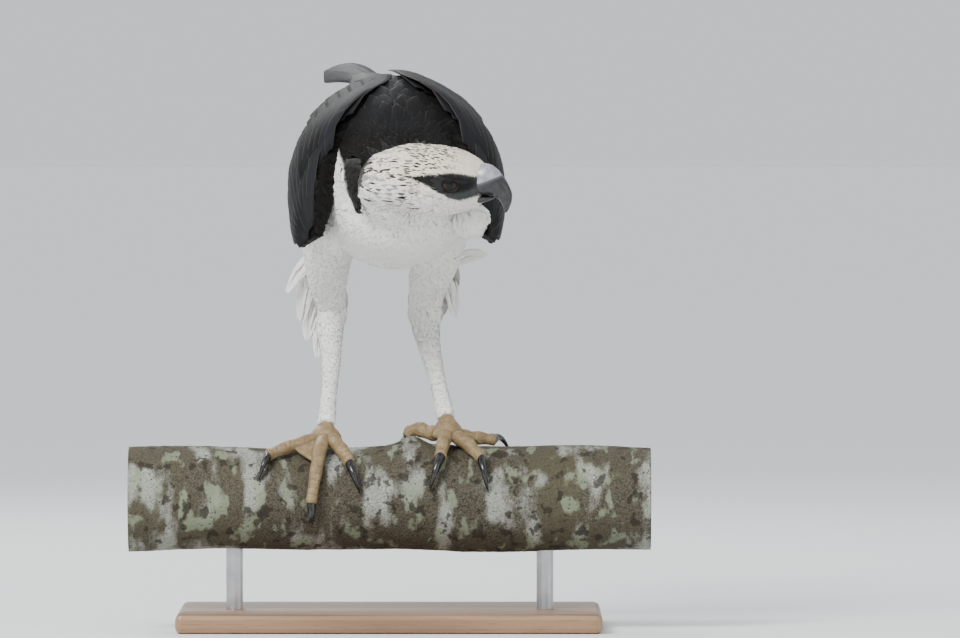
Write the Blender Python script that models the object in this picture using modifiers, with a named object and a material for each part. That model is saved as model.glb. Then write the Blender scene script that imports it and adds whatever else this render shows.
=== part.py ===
"""Flores hawk-eagle, a life-size still model: the bird leans forward on a cut length of branch, wings folded.

Lengths below are in millimetres and are turned into metres as each mesh is made.
The bird faces -Y, its own right side is at -X, and +Z is up.
The origin is the centre of the underside of the stand's base.
"""

import math

import bmesh
import bpy
import numpy as np
from mathutils import Vector
from mathutils.kdtree import KDTree

for old in list(bpy.data.objects):
    bpy.data.objects.remove(old)
birds = bpy.data.collections.new("flores_hawk_eagle")
bpy.context.scene.collection.children.link(birds)

MM = 0.001
GAP = 0.35  # between nodes that touch
VANE_THICK = 0.85
TOUCH = 0.003  # nearer than this, two points of a mesh count as touching

# Stand and perch
BASE_LENGTH, BASE_DEPTH, BASE_THICK = 300.0, 230.0, 14.0
ROD_RADIUS, ROD_APART, ROD_FREE, ROD_SEAT, ROD_SUNK = 6.0, 220.0, 40.0, 12.0, 8.0
BASE_ROUNDING = 4.0
PERCH_RADIUS, PERCH_LENGTH, PERCH_Y = 38.5, 370.0, -20.0
PERCH_RINGS, PERCH_SIDES = 13, 14
PERCH_AXIS_Z = BASE_THICK + ROD_FREE + PERCH_RADIUS
FOOT_LEVEL = PERCH_AXIS_Z + PERCH_RADIUS
KNOT_X, KNOT_ANGLE, KNOT_RISE, KNOT_SPREAD = 16.0, -8.0, 7.0, 11.0

# The bird's place: all its points are given from the middle of the perch's top
FEET = np.array([0.0, PERCH_Y, FOOT_LEVEL])
BODY_YAW, BODY_X = math.radians(3.0), 3.5

# Torso: place along the body, height of its middle, half width, rise and drop
TORSO_STATIONS = (
    (-94, 168, 12, 12, 14),
    (-86, 169, 33, 30, 30),
    (-68, 172, 53, 46, 43),
    (-38, 178, 61, 57, 54),
    (0, 185, 61, 59, 64),
    (40, 193, 57, 52, 60),
    (80, 202, 47, 41, 50),
    (118, 208, 34, 32, 35),
    (150, 212, 24, 17, 20),
)
TAIL_START = 150.0
TORSO_RINGS, TORSO_SIDES = 14, 20
BREAST_LOBE, BREAST_LOBE_SIZES = (49.0, -76.0, 159.5), (20.0, 23.0, 17.0)

# Head: its middle between the eyes, the way the bill points, and how far the crown tips to its right side
HEAD_PLACE = np.array([36.0, -128.0, 188.0])
HEAD_FORWARD = np.array([0.93, -0.35, -0.11])
HEAD_ROLL = math.radians(10.0)
HEAD_STATIONS = (  # along, rise of the crown, drop of the throat, half width
    (-42, 17, -18, 22),
    (-32, 22, -24, 27),
    (-18, 26, -27, 29.5),
    (-3, 28, -27, 30),
    (11, 26.5, -25, 27),
    (22, 22.0, -21.5, 21),
    (29, 17.5, -18, 15.5),
    (33.5, 13.6, -14.8, 12.2),
)
EYE_ALONG, EYE_SIDE, EYE_RISE, EYE_RADIUS = 14.5, 18.6, 2.2, 8.4
LID_SIDE, LID_RADIUS, LID_THICK = 24.0, 6.9, 1.25
HEAD_RINGS, HEAD_SIDES = 12, 20
BROW_SIDE, BROW_RISE, BROW_SIZES = 20.0, 8.2, (14.5, 7.0, 3.4)
NECK_SHARES = (0, 0.3, 0.6, 0.8, 1)
NECK_HALF_WIDTHS, NECK_HALF_DEPTHS = (25, 27, 29, 34, 38), (22, 25, 28, 32, 36)
NECK_RINGS, NECK_SIDES = 8, 15

# Bill: its middle line from inside the head to the hook's tip (along, rise), then half width, rise and drop
BILL_STATIONS = (
    (29.0, 1.8, 9.5, 10.4, 8.1),
    (35.0, 2.0, 9.2, 10.6, 8.3),
    (38.0, 1.6, 8.2, 9.8, 7.9),
    (42.0, 0.2, 7.0, 8.8, 6.6),
    (46.0, -2.6, 5.6, 7.2, 5.8),
    (49.2, -6.6, 4.2, 5.4, 4.8),
    (50.8, -11.0, 2.9, 3.6, 3.5),
    (50.8, -15.4, 1.6, 2.0, 2.0),
    (49.8, -19.4, 0.6, 0.7, 0.7),
)
LOWER_BILL_START, LOWER_BILL_LENGTH, LOWER_BILL_RISE = 20.0, 20.8, -8.35
NOSTRIL_PLACE, NOSTRIL_SIZES = (37.6, 8.6, 4.4), (2.0, 2.6, 1.2)
MOUTH_PLACE, MOUTH_SIZES = (24.0, 17.5, -10.6), (12.5, 5.0, 0.6)

# Legs: knee, mid thigh, ankle, mid tarsus and foot, from the perch's top
LEG_PATHS = {  # across, back and up from the perch's top
    "right": ((-38, -24, 172), (-44, 12, 140), (-45, 44, 112), (-43, 53, 96), (-43, 46, 82), (-42, 29, 58),
              (-43.5, 12, 34), (-45, -2, 13)),
    "left": ((36, -24, 172), (34, 12, 140), (27, 44, 112), (25, 53, 96), (25.5, 46, 82), (30, 30, 60),
             (35.5, 13, 38), (40, -1, 18)),
}
LEG_HALF_WIDTHS = (29, 22, 18.0, 15.5, 12.2, 9.4, 8.2, 9.2)
LEG_HALF_DEPTHS = (37, 30, 21, 16, 12.5, 9.4, 8.2, 9.0)
ANKLE_CUT = 0.52  # share of the leg's path

# Toes on the perch: the end's place along it and angle forward from its top, then those of the claw's tip
TOES = {
    "right": {
        1: (-37, -50, -35, -84),
        2: (-28, 52, -20, 84),
        3: (-55, 92, -55, 120),
        4: (-86, 41, -93, 70),
    },
    "left": {
        1: (13, -16, 2, -52),
        2: (36, 45, 28, 81),
        3: (65, 45, 70, 82),
        4: (74, -6, 86, -30),
    },
}
TOE_RADII = {1: 6.4, 2: 6.4, 3: 6.0, 4: 5.6}
CLAW_RADII = {1: 4.2, 2: 4.0, 3: 3.5, 4: 3.2}
TOE_SCUTES, TOE_SIDES, TOE_LIFT = 4, 7, 2.6  # plates down a toe, and how far its root arches off the bark
CLAW_STEPS, CLAW_SIDES, CLAW_ARCH = 5, 6, 4.6
SOLE_OFF, HUB_OFF = 4.6, 8.4

# Folded wing: place along the body, then its lower edge, its bulge and its upper edge as (side, height)
WING_STATIONS = {
    "right": (
        (-84, (65, 145), (70, 152), (59, 161)),
        (-74, (71, 140), (78, 160), (56, 188)),
        (-56, (70, 139), (85, 177), (49, 217)),
        (-30, (66, 141), (95, 204), (30, 243)),
        (0, (63, 146), (99, 220), (13, 254)),
        (60, (57, 159), (91, 231), (9, 260)),
        (120, (48, 177), (70, 236), (9, 256)),
        (180, (38, 203), (47, 234), (8, 247)),
        (240, (26, 220), (27, 238), (-5, 247)),
        (305, (10, 231), (2, 241), (-14, 239)),
    ),
    "left": (
        (-84, (62, 148), (67, 154), (58, 163)),
        (-74, (67, 143), (76, 163), (55, 191)),
        (-56, (68, 142), (84, 179), (49, 219)),
        (-30, (66, 144), (95, 203), (31, 247)),
        (0, (64, 150), (101, 221), (13, 258)),
        (60, (58, 166), (94, 238), (7, 263)),
        (120, (47, 187), (70, 249), (0, 265)),
        (180, (30, 226), (20, 280), (-26, 262)),
        (240, (8, 262), (-9, 291), (-45, 264)),
        (305, (-9, 279), (-27, 286), (-50, 270)),
    ),
}
# A vane's rows of points down its length, and its width at each
VANE_PLACES, VANE_WIDTHS = (0, 0.16, 0.80, 1.0), (0.55, 0.92, 0.92, 0.3)
# The core under the vanes: place along the body, how deep it lies under the outer face, and how thick it is
CORE_DEPTH_STATIONS = (-84, -72, -44, -14, 20, 40, 90, 130, 200, 250)
CORE_SKIN = (-1, -1.5, -2.4, -5.2, -8.3, -9.6, -11.6, -12.6, -12.6, -12.6)
CORE_THICK = (12, 25, 26, 21, 16, 14, 9.5, 5, 2.5, 1.6)
CORE_RINGS, CORE_ROWS = (-84, -78, -66, -45, -15, 20, 60, 110, 155, 196), 6

# Mantle: place along the body, how far it reaches to both sides in degrees, and its height over the torso
MANTLE_STATIONS = (
    (-90, 80, 1.8),
    (-80, 54, 2.0),
    (-60, 38, 2.3),
    (-42, 36, 2.3),
    (-24, 21, 2.3),
    (0, 13, 2.2),
    (60, 12, 2.2),
    (110, 12, 2.2),
    (140, 12, 2.2),
)
MANTLE_RINGS = (-90, -82, -68, -50, -30, 0, 50, 100, 140)
# Rows of its feathers: place of the roots, how many, reach to both sides in degrees, length, half width
MANTLE_ROWS = (
    (-84, 4, 38, 38, 12.0),
    (-56, 3, 23, 44, 13.0),
    (-26, 2, 8, 52, 9.5),
    (12, 1, 0, 56, 11.0),
    (52, 1, 0, 56, 10.0),
)
MANTLE_VANE_PLACES, MANTLE_VANE_WIDTHS = (0, 0.16, 0.8, 1.0), (0.6, 0.9, 0.9, 0.3)
MANTLE_LIFTS = {"front": (-2.0, 2.4, 3.2, 3.5), "back": (-2.0, 2.2, 2.6, 2.8)}  # of a vane over the saddle

# Dark feathers down the neck's side: root on the torso (along, degrees), tip (side, along, height) and width
NECK_LOCKS = (
    (-72, 42, (28, -102, 163), 20.0),
)
NECK_LOCK_THICK = 3.4

# Tail
TAIL_LENGTH, TAIL_SPREAD, TAIL_PITCH = 262.0, 8.0, 2.0
TAIL_VANE_THICK, TAIL_LAYER = 0.65, 1.0
TAIL_VANE_PLACES, TAIL_VANE_WIDTHS = (0, 0.3, 0.87, 1.0), (0.42, 0.92, 0.92, 0.3)
TAIL_BASE = np.array([0.0, 158.0, 211.0])
TAIL_ROOT = (  # along, half width, rise and drop
    (-8 + GAP, 23.0, 16.5, 19.0),
    (8, 20.0, 12.5, 15.5),
    (26, 16.0, 7.5, 11.0),
    (44, 12.0, 3.8, 7.0),
    (58, 8.5, 2.0, 4.5),
)
TAIL_ROOM = (  # what the tail's feathers take up beyond its root
    (24, 33, 13.5, 16),
    (60, 38, 13.0, 15),
    (110, 42, 10.0, 14),
    (170, 46, 9.0, 14),
)


def smooth(xs, ys, x):
    """A curve through the points (xs, ys) that doesn't overshoot, read at x."""
    xs, ys = np.asarray(xs, float), np.asarray(ys, float)
    gaps = np.diff(xs)
    slopes = np.diff(ys) / gaps
    tangents = np.zeros(len(xs))
    tangents[0], tangents[-1] = slopes[0], slopes[-1]
    for i in range(1, len(xs) - 1):
        if slopes[i - 1] * slopes[i] > 0:
            share = gaps[i - 1] / (gaps[i - 1] + gaps[i])
            tangents[i] = slopes[i - 1] * slopes[i] / (share * slopes[i - 1] + (1 - share) * slopes[i])
    x = min(max(float(x), xs[0]), xs[-1])
    i = min(int(np.searchsorted(xs, x, side="right")) - 1, len(xs) - 2)
    s = (x - xs[i]) / gaps[i]
    return float(
        ys[i] * (1 + 2 * s) * (1 - s) ** 2
        + ys[i + 1] * s * s * (3 - 2 * s)
        + gaps[i] * (tangents[i] * s * (1 - s) ** 2 - tangents[i + 1] * s * s * (1 - s))
    )


def smooth_point(xs, points, x):
    return np.array([smooth(xs, [p[i] for p in points], x) for i in range(len(points[0]))])


def unit(v):
    return np.asarray(v, float) / np.linalg.norm(v)


def from_body(side, along, height):
    """A point given beside, along and above the body's own line, as a place in the model."""
    cos, sin = math.cos(BODY_YAW), math.sin(BODY_YAW)
    return FEET + np.array([BODY_X + side * cos - along * sin, side * sin + along * cos, height])


def head_axes():
    forward = unit(HEAD_FORWARD)
    right = unit(np.cross(forward, (0, 0, 1)))
    up = np.cross(right, forward)
    cos, sin = math.cos(HEAD_ROLL), math.sin(HEAD_ROLL)
    return forward, cos * right - sin * up, cos * up + sin * right


def from_head(along, side, rise):
    """A point given forward of, to the right of and above the middle of the head."""
    forward, right, up = head_axes()
    return FEET + HEAD_PLACE + along * forward + side * right + rise * up


def add_material(name, colour, roughness, metallic=0.0):
    made = bpy.data.materials.new(name)
    made.use_nodes = True
    shader = made.node_tree.nodes["Principled BSDF"]
    shader.inputs["Base Color"].default_value = (*colour, 1.0)
    shader.inputs["Roughness"].default_value = roughness
    shader.inputs["Metallic"].default_value = metallic
    return made


def new_object(name, points, faces, home):
    mesh = bpy.data.meshes.new(name)
    mesh.from_pydata([tuple(np.asarray(p, float) * MM) for p in points], [], faces)
    made = bpy.data.objects.new(name, mesh)
    home.objects.link(made)
    tidy = bmesh.new()
    tidy.from_mesh(mesh)
    bmesh.ops.recalc_face_normals(tidy, faces=tidy.faces)
    tidy.to_mesh(mesh)
    tidy.free()
    return made


def loft(name, rings, home):
    """A closed solid through rings of points, with each end closed by a fan round its middle."""
    count = len(rings[0])
    points = [p for ring in rings for p in ring]
    faces = []
    for i in range(len(rings) - 1):
        for j in range(count):
            k = (j + 1) % count
            faces.append((i * count + j, i * count + k, (i + 1) * count + k, (i + 1) * count + j))
    for ring in (0, len(rings) - 1):
        points.append(np.mean(rings[ring], axis=0))
        middle = len(points) - 1
        for j in range(count):
            faces.append((ring * count + j, ring * count + (j + 1) % count, middle))
    return new_object(name, points, faces, home)


def oval(middle, across, upward, half_width, rise, drop, count, squareness=2.0):
    """A ring of points round a middle: half_width to each side, rise above and drop below."""
    ring = []
    for j in range(count):
        angle = 2 * math.pi * (j + 0.5) / count
        c, s = math.cos(angle), math.sin(angle)
        power = 2.0 / squareness
        x = math.copysign(abs(c) ** power, c) * half_width
        z = math.copysign(abs(s) ** power, s) * (rise if s > 0 else drop)
        ring.append(np.asarray(middle) + x * np.asarray(across) + z * np.asarray(upward))
    return ring


def tube(name, middles, half_widths, half_depths, home, count=12, across=(1, 0, 0)):
    """A loft of ovals along a path, each square to it."""
    middles = np.asarray(middles, float)
    rings = []
    for i, middle in enumerate(middles):
        way = unit(middles[min(i + 1, len(middles) - 1)] - middles[max(i - 1, 0)])
        side = unit(np.asarray(across, float) - np.dot(across, way) * way)
        deep = half_depths[i]
        rings.append(oval(middle, side, np.cross(side, way), half_widths[i], deep, deep, count))
    return loft(name, rings, home)


def apply_modifiers(obj):
    graph = bpy.context.evaluated_depsgraph_get()
    mesh = bpy.data.meshes.new_from_object(obj.evaluated_get(graph))
    obj.modifiers.clear()
    obj.data = mesh


def boolean(obj, operation, others, solver="MANIFOLD"):
    """Joins closed solids to obj, or cuts them from it, and removes them."""
    group = bpy.data.collections.new("group_for_" + obj.name)
    bpy.context.scene.collection.children.link(group)
    for other in others:
        for home in list(other.users_collection):
            home.objects.unlink(other)
        group.objects.link(other)
    step = obj.modifiers.new(operation.lower(), "BOOLEAN")
    step.operation = operation
    step.operand_type = "COLLECTION"
    step.collection = group
    step.solver = solver
    bpy.context.view_layer.update()
    apply_modifiers(obj)
    for other in list(group.objects):
        bpy.data.objects.remove(other)
    bpy.data.collections.remove(group)


def part_touching(obj):
    """Closes up slivers, makes triangles, and parts the places where four of them would share one edge."""
    edit = bmesh.new()
    edit.from_mesh(obj.data)
    bmesh.ops.dissolve_degenerate(edit, dist=TOUCH * MM, edges=edit.edges)
    bmesh.ops.triangulate(edit, faces=edit.faces)
    while shared := [e for e in edit.edges if len(e.link_faces) > 2]:
        edge = shared[0]
        faces = list(edge.link_faces)
        pairs = [(f.normal.dot(g.normal), i, j) for j, g in enumerate(faces) for i, f in enumerate(faces[:j])]
        flat = [faces[i] for i in max(pairs)[1:]]
        start, end = edge.verts
        middle = edit.verts.new((start.co + end.co) / 2 - flat[0].normal * TOUCH * 4 * MM)
        for face in flat:
            ring = list(face.verts)
            bmesh.ops.delete(edit, geom=[face], context="FACES_ONLY")
            for old in (start, end):
                edit.faces.new([middle if v is old else v for v in ring]).normal_update()
    edit.normal_update()
    edit.verts.ensure_lookup_table()
    tree = KDTree(len(edit.verts))
    for i, vert in enumerate(edit.verts):
        tree.insert(vert.co, i)
    tree.balance()
    moves = [(v, v.normal.copy()) for v in edit.verts if len(tree.find_range(v.co, TOUCH * MM)) > 1]
    for vert, normal in moves:
        vert.co -= normal * TOUCH * 6 * MM
    edit.to_mesh(obj.data)
    edit.free()


def keep_largest(obj):
    """Leaves only the largest closed surface of the mesh."""
    edit = bmesh.new()
    edit.from_mesh(obj.data)
    edit.faces.ensure_lookup_table()
    seen, groups = set(), []
    for start in edit.faces:
        if start.index in seen:
            continue
        stack, group = [start], []
        seen.add(start.index)
        while stack:
            face = stack.pop()
            group.append(face)
            for edge in face.edges:
                for near in edge.link_faces:
                    if near.index not in seen:
                        seen.add(near.index)
                        stack.append(near)
        groups.append(group)
    groups.sort(key=lambda group: -sum(face.calc_area() for face in group))
    for group in groups[1:]:
        bmesh.ops.delete(edit, geom=group, context="FACES")
    edit.to_mesh(obj.data)
    edit.free()


def cut_flat(obj, place, away):
    """Removes what lies beyond a plane and closes the cut."""
    edit = bmesh.new()
    edit.from_mesh(obj.data)
    whole = edit.verts[:] + edit.edges[:] + edit.faces[:]
    cut = bmesh.ops.bisect_plane(
        edit,
        geom=whole,
        dist=1e-7,
        plane_co=Vector(np.asarray(place) * MM),
        plane_no=Vector(unit(away)),
        clear_outer=True,
    )
    edges = [g for g in cut["geom_cut"] if isinstance(g, bmesh.types.BMEdge)]
    filled = bmesh.ops.holes_fill(edit, edges=edges, sides=0)
    bmesh.ops.triangulate(edit, faces=filled["faces"])
    bmesh.ops.recalc_face_normals(edit, faces=edit.faces)
    edit.to_mesh(obj.data)
    edit.free()


def copy_of(obj, name):
    made = bpy.data.objects.new(name, obj.data.copy())
    birds.objects.link(made)
    return made


def finish_node(obj, material, smooth_angle=40.0):
    part_touching(obj)
    obj.data.materials.clear()
    obj.data.materials.append(material)
    obj.data.shade_smooth()
    obj.data.set_sharp_from_angle(angle=math.radians(smooth_angle))


def torso_shape(name, grow=0.0):
    alongs = [s[0] for s in TORSO_STATIONS]
    rings = []
    for i in range(TORSO_RINGS):
        share = i / (TORSO_RINGS - 1)
        along = alongs[0] + (TAIL_START + 12 - alongs[0]) * (0.45 * share * share + 0.55 * share)
        row = [smooth(alongs, [s[k] for s in TORSO_STATIONS], along) for k in range(1, 5)]
        middle = from_body(0, along - grow * (i == 0) + grow * (share == 1), row[0])
        side = unit(from_body(1, along, 0) - from_body(0, along, 0))
        rings.append(oval(middle, side, (0, 0, 1), row[1] + grow, row[2] + grow, row[3] + grow, TORSO_SIDES))
    return loft(name, rings, birds)


def breast_lobe(name, grow=0.0):
    """The full side of the breast, which covers the left wing's wrist from the front."""
    sizes = [size + grow for size in BREAST_LOBE_SIZES]
    return ellipsoid(name, from_body(*BREAST_LOBE), np.eye(3), sizes, birds, 12, 8)


def torso_point(along, turn, off=0.0):
    """A point off the torso's surface, turn being the angle in radians from its top to the bird's left."""
    alongs = [s[0] for s in TORSO_STATIONS]
    middle, width, rise, drop = (smooth(alongs, [s[k] for s in TORSO_STATIONS], along) for k in (1, 2, 3, 4))
    tall = rise if math.cos(turn) > 0 else drop
    normal = unit((math.sin(turn) / width, math.cos(turn) / tall))
    place = np.array([width * math.sin(turn), tall * math.cos(turn)]) + normal * off
    return from_body(place[0], along, middle + place[1])


def mantle_reach(along):
    alongs = [s[0] for s in MANTLE_STATIONS]
    return [smooth(alongs, [s[k] for s in MANTLE_STATIONS], along) for k in (1, 2)]


def mantle_shape(name, under, grow_side=0.0, grow_up=0.0, grow_ends=0.0, rounding=0.45):
    """The saddle of feathers between the wings, from a height off the torso up to its own."""
    rings = []
    for i, ring in enumerate(MANTLE_RINGS):
        along = ring - grow_ends * (i == 0) + grow_ends * (ring == MANTLE_RINGS[-1])
        reach, height = mantle_reach(along)
        turns = np.radians(np.linspace(-1, 1, 7) * (reach + grow_side))
        heights = [(height + grow_up) * (1 - rounding * abs(t / turns[0]) ** 3) for t in turns]
        top = [torso_point(along, t, off) for t, off in zip(turns, heights)]
        rings.append(top + [torso_point(along, t, under) for t in reversed(turns)])
    return loft(name, rings, birds)


def make_mantle(cutters):
    mantle = mantle_shape("mantle", -4.0)
    vanes = []
    for start, count, reach, length, half_width in MANTLE_ROWS:
        for i in range(count):
            turn = math.radians(reach * (2 * i / (count - 1) - 1)) if count > 1 else 0.0
            rows = []
            for s, share in zip(MANTLE_VANE_PLACES, MANTLE_VANE_WIDTHS):
                along = start + length * s
                angle = turn * (1 - 0.32 * s)
                lift = MANTLE_LIFTS["front" if start < -40 else "back"]
                height = mantle_reach(min(along, 138))[1] + lift[len(rows)]
                width = smooth([k[0] for k in TORSO_STATIONS], [k[2] for k in TORSO_STATIONS], along)
                part = half_width * share / width
                tilt = 0.7 * share
                row = [torso_point(along, angle + k * part, height + k * tilt) for k in (-1, 0, 1)]
                rows.append((*row, torso_point(along, angle, height - VANE_THICK) - row[1]))
            vanes.append(slab("mantle_vane", rows, birds))
    for sign in (-1, 1):
        for along, turn, tip, width in NECK_LOCKS:
            root = torso_point(along, sign * math.radians(turn), -1.0)
            end = from_body(sign * tip[0], tip[1], tip[2])
            bend, flat_way = (sign * 3.0, -5.0, 5.0), (sign * 0.4, -1, 0.3)
            vanes.append(lock("neck_lock", root, end, bend, flat_way, width, NECK_LOCK_THICK, birds))
    boolean(mantle, "UNION", vanes)
    keep_largest(mantle)
    boolean(mantle, "DIFFERENCE", [copy_of(c, "cutter") for c in cutters])
    keep_largest(mantle)
    finish_node(mantle, DARK_FEATHER)


def neck_shape(name, grow=0.0):
    ends = (
        from_head(-12, 0, -2),
        from_head(-38, 0, -5),
        from_body(-3, -88, 178),
        from_body(0, -62, 176),
        from_body(0, -36, 180),
    )
    steps = np.linspace(0, 1, NECK_RINGS)
    middles = [smooth_point(NECK_SHARES, ends, s) for s in steps]
    widths = [smooth(NECK_SHARES, NECK_HALF_WIDTHS, s) + grow for s in steps]
    depths = [smooth(NECK_SHARES, NECK_HALF_DEPTHS, s) + grow for s in steps]
    _, right, _ = head_axes()
    return tube(name, middles, widths, depths, birds, count=NECK_SIDES, across=right)


def head_shape(name, grow=0.0):
    _, right, up = head_axes()
    alongs = [s[0] for s in HEAD_STATIONS]
    rings = []
    for along in np.linspace(alongs[0], alongs[-1], HEAD_RINGS):
        rise, drop, width = (smooth(alongs, [s[k] for s in HEAD_STATIONS], along) for k in (1, 2, 3))
        middle = from_head(along, 0, (rise + drop) / 2)
        half = (rise - drop) / 2 + grow
        rings.append(oval(middle, right, up, width + grow, half, half, HEAD_SIDES))
    return loft(name, rings, birds)


def ellipsoid(name, place, axes, sizes, home, segments=12, rings=8):
    edit = bmesh.new()
    bmesh.ops.create_uvsphere(edit, u_segments=segments, v_segments=rings, radius=1.0)
    for vert in edit.verts:
        p = sum(vert.co[i] * sizes[i] * np.asarray(axes[i]) for i in range(3))
        vert.co = Vector((np.asarray(place) + p) * MM)
    mesh = bpy.data.meshes.new(name)
    bmesh.ops.recalc_face_normals(edit, faces=edit.faces)
    edit.to_mesh(mesh)
    edit.free()
    made = bpy.data.objects.new(name, mesh)
    home.objects.link(made)
    return made


def ring_round_eye(name, side):
    """The lids: a rim that stands a little proud round the eye."""
    forward, right, up = head_axes()
    middle = from_head(EYE_ALONG, side * LID_SIDE, EYE_RISE)
    count, around = 11, 4
    points, faces = [], []
    for i in range(count):
        a = 2 * math.pi * i / count
        out = math.cos(a) * forward + math.sin(a) * up
        tilt_in = 0.32 * math.cos(a) * LID_RADIUS
        core = middle + out * (LID_RADIUS if math.sin(a) < 0.2 else LID_RADIUS - 0.9) - side * tilt_in * right
        for j in range(around):
            b = 2 * math.pi * j / around
            points.append(core + LID_THICK * (math.cos(b) * out + math.sin(b) * right * side))
    for i in range(count):
        for j in range(around):
            k, m = (i + 1) % count, (j + 1) % around
            faces.append((i * around + j, i * around + m, k * around + m, k * around + j))
    return new_object(name, points, faces, birds)


def make_head_and_body():
    """The torso and the neck keep clear of the head, and the neck of the torso."""
    head, neck, torso = head_shape("head"), neck_shape("neck"), torso_shape("torso")
    forward, right, up = head_axes()
    face = []
    for side in (-1, 1):
        place = from_head(EYE_ALONG + 0.5, side * BROW_SIDE, EYE_RISE + BROW_RISE)
        way = (unit(forward - 0.36 * side * right - 0.18 * up), right, up)
        face += [ellipsoid("brow", place, way, BROW_SIZES, birds, 10, 6), ring_round_eye("lids", side)]
    boolean(head, "UNION", face, "EXACT")
    keep_largest(head)
    boolean(neck, "DIFFERENCE", [torso_shape("torso_cutter", GAP)])
    boolean(neck, "DIFFERENCE", [head_shape("head_cutter", GAP)])
    keep_largest(neck)
    boolean(torso, "UNION", [breast_lobe("breast_lobe")])
    boolean(torso, "DIFFERENCE", [head_shape("head_cutter", GAP)], "EXACT")
    cut_flat(torso, from_body(0, TAIL_START, 0), from_body(0, 1, 0) - from_body(0, 0, 0))
    keep_largest(torso)
    sockets = []
    for side, name in ((1, "right"), (-1, "left")):
        place = from_head(EYE_ALONG, side * EYE_SIDE, EYE_RISE)
        sockets.append(ellipsoid("socket", place, np.eye(3), [EYE_RADIUS + GAP] * 3, birds, 12, 8))
        eye = ellipsoid("eye_" + name, place, np.eye(3), [EYE_RADIUS] * 3, birds, 12, 8)
        finish_node(eye, IRIS, 80)
    boolean(head, "DIFFERENCE", sockets)
    return head, neck, torso


def make_bill(head):
    forward, right, up = head_axes()
    upper_rings, lower_rings = [], []
    for i, (along, rise, width, top, bottom) in enumerate(BILL_STATIONS):
        ahead, behind = BILL_STATIONS[min(i + 1, len(BILL_STATIONS) - 1)], BILL_STATIONS[max(i - 1, 0)]
        way = unit((ahead[0] - behind[0]) * forward + (ahead[1] - behind[1]) * up)
        middle = from_head(along, 0, rise)
        upper_rings.append(oval(middle, right, np.cross(right, way), width, top, bottom, 14, 2.3))
    upper = loft("bill_upper", upper_rings, birds)
    # The lower half lies close under the upper one, with the mouth line between them
    for share in np.linspace(0, 1, 7):
        along = LOWER_BILL_START + LOWER_BILL_LENGTH * share
        width = 7.6 * (1 - share**2.6) + 1.0
        drop = 5.6 * (1 - share**1.8) + 0.8
        middle = from_head(along, 0, LOWER_BILL_RISE + 0.4 * share * share)
        lower_rings.append(oval(middle, right, up, width, 1.2, drop, 12, 2.3))
    lower = loft("bill_lower", lower_rings, birds)
    slit = (unit(forward + 0.5 * up), right, unit(up - 0.5 * forward))
    along, beside, rise = NOSTRIL_PLACE
    nostrils = [
        ellipsoid("nostril", from_head(along, side * beside, rise), slit, NOSTRIL_SIZES, birds, 10, 6)
        for side in (-1, 1)
    ]
    boolean(upper, "DIFFERENCE", nostrils)
    keep_largest(upper)
    cutters = []
    for piece in (upper, lower):
        cutter = copy_of(piece, "seat")
        grow_mesh(cutter, GAP)
        cutters.append(cutter)
    boolean(head, "DIFFERENCE", cutters)
    # The mouth line runs back from the bill to the corner under the eye
    along, beside, rise = MOUTH_PLACE
    mouth_lines = []
    for side in (-1, 1):
        way = (unit(forward - 0.62 * side * right + 0.05 * up), right, up)
        place = from_head(along, side * beside, rise)
        mouth_lines.append(ellipsoid("mouth_line", place, way, MOUTH_SIZES, birds, 10, 5))
    boolean(head, "DIFFERENCE", mouth_lines)
    keep_largest(head)
    for piece in (upper, lower):
        finish_node(piece, BILL, 60)


def grow_mesh(obj, distance):
    """Moves every point outward along its normal."""
    edit = bmesh.new()
    edit.from_mesh(obj.data)
    bmesh.ops.recalc_face_normals(edit, faces=edit.faces)
    edit.normal_update()
    moves = [(vert, vert.normal.copy()) for vert in edit.verts]
    for vert, normal in moves:
        vert.co += normal * distance * MM
    edit.to_mesh(obj.data)
    edit.free()


# Legs and feet


def leg_points(side, shares):
    keys = np.linspace(0, 1, 8)
    return [FEET + smooth_point(keys, LEG_PATHS[side], s) for s in shares]


def leg_sizes(sizes, shares):
    keys = np.linspace(0, 1, 8)
    return [smooth(keys, sizes, s) for s in shares]


def leg_piece(name, side, start, end, count, around, trim=(0.0, 0.0), grow=0.0):
    shares = np.linspace(start, end, count)
    middles = leg_points(side, shares)
    first, last = unit(middles[1] - middles[0]), unit(middles[-1] - middles[-2])
    middles[0] = middles[0] + first * trim[0]
    middles[-1] = middles[-1] - last * trim[1]
    widths = [size + grow for size in leg_sizes(LEG_HALF_WIDTHS, shares)]
    depths = [size + grow for size in leg_sizes(LEG_HALF_DEPTHS, shares)]
    return tube(name, middles, widths, depths, birds, around)


def lock(name, root, tip, bend, flat_way, width, thick, home, steps=4):
    """A flat, tapered lock of feather from root to tip, bent to a side, its broad face square to flat_way."""
    root, tip, bend = (np.asarray(v, float) for v in (root, tip, bend))
    shape = (0.75, 1.0, 0.86, 0.55, 0.12)
    points, faces = [], []
    for i in range(steps + 1):
        s = i / steps
        middle = root * (1 - s) + tip * s + bend * 4 * s * (1 - s)
        way = unit(tip - root + bend * 4 * (1 - 2 * s))
        across = unit(np.cross(flat_way, way))
        face = unit(np.cross(way, across))
        half = width * shape[i] / 2
        deep = thick * (1 - 0.55 * s) / 2
        points += [middle - across * half, middle + face * deep, middle + across * half, middle - face * deep]
    for i in range(steps):
        for j in range(4):
            k = (j + 1) % 4
            faces.append((4 * i + j, 4 * i + k, 4 * i + 4 + k, 4 * i + 4 + j))
    faces += [(0, 1, 2, 3), tuple(4 * steps + j for j in range(4))]
    return new_object(name, points, faces, home)


# Loose feathers of the thigh: share of the leg's path, turn round it from its front, length, width
HEEL_LOCKS = (
    (0.22, 130, 66, 25), (0.25, 180, 74, 27), (0.27, 230, 62, 25),
    (0.34, 150, 60, 23), (0.36, 204, 56, 22), (0.43, 176, 48, 20),
)
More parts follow.
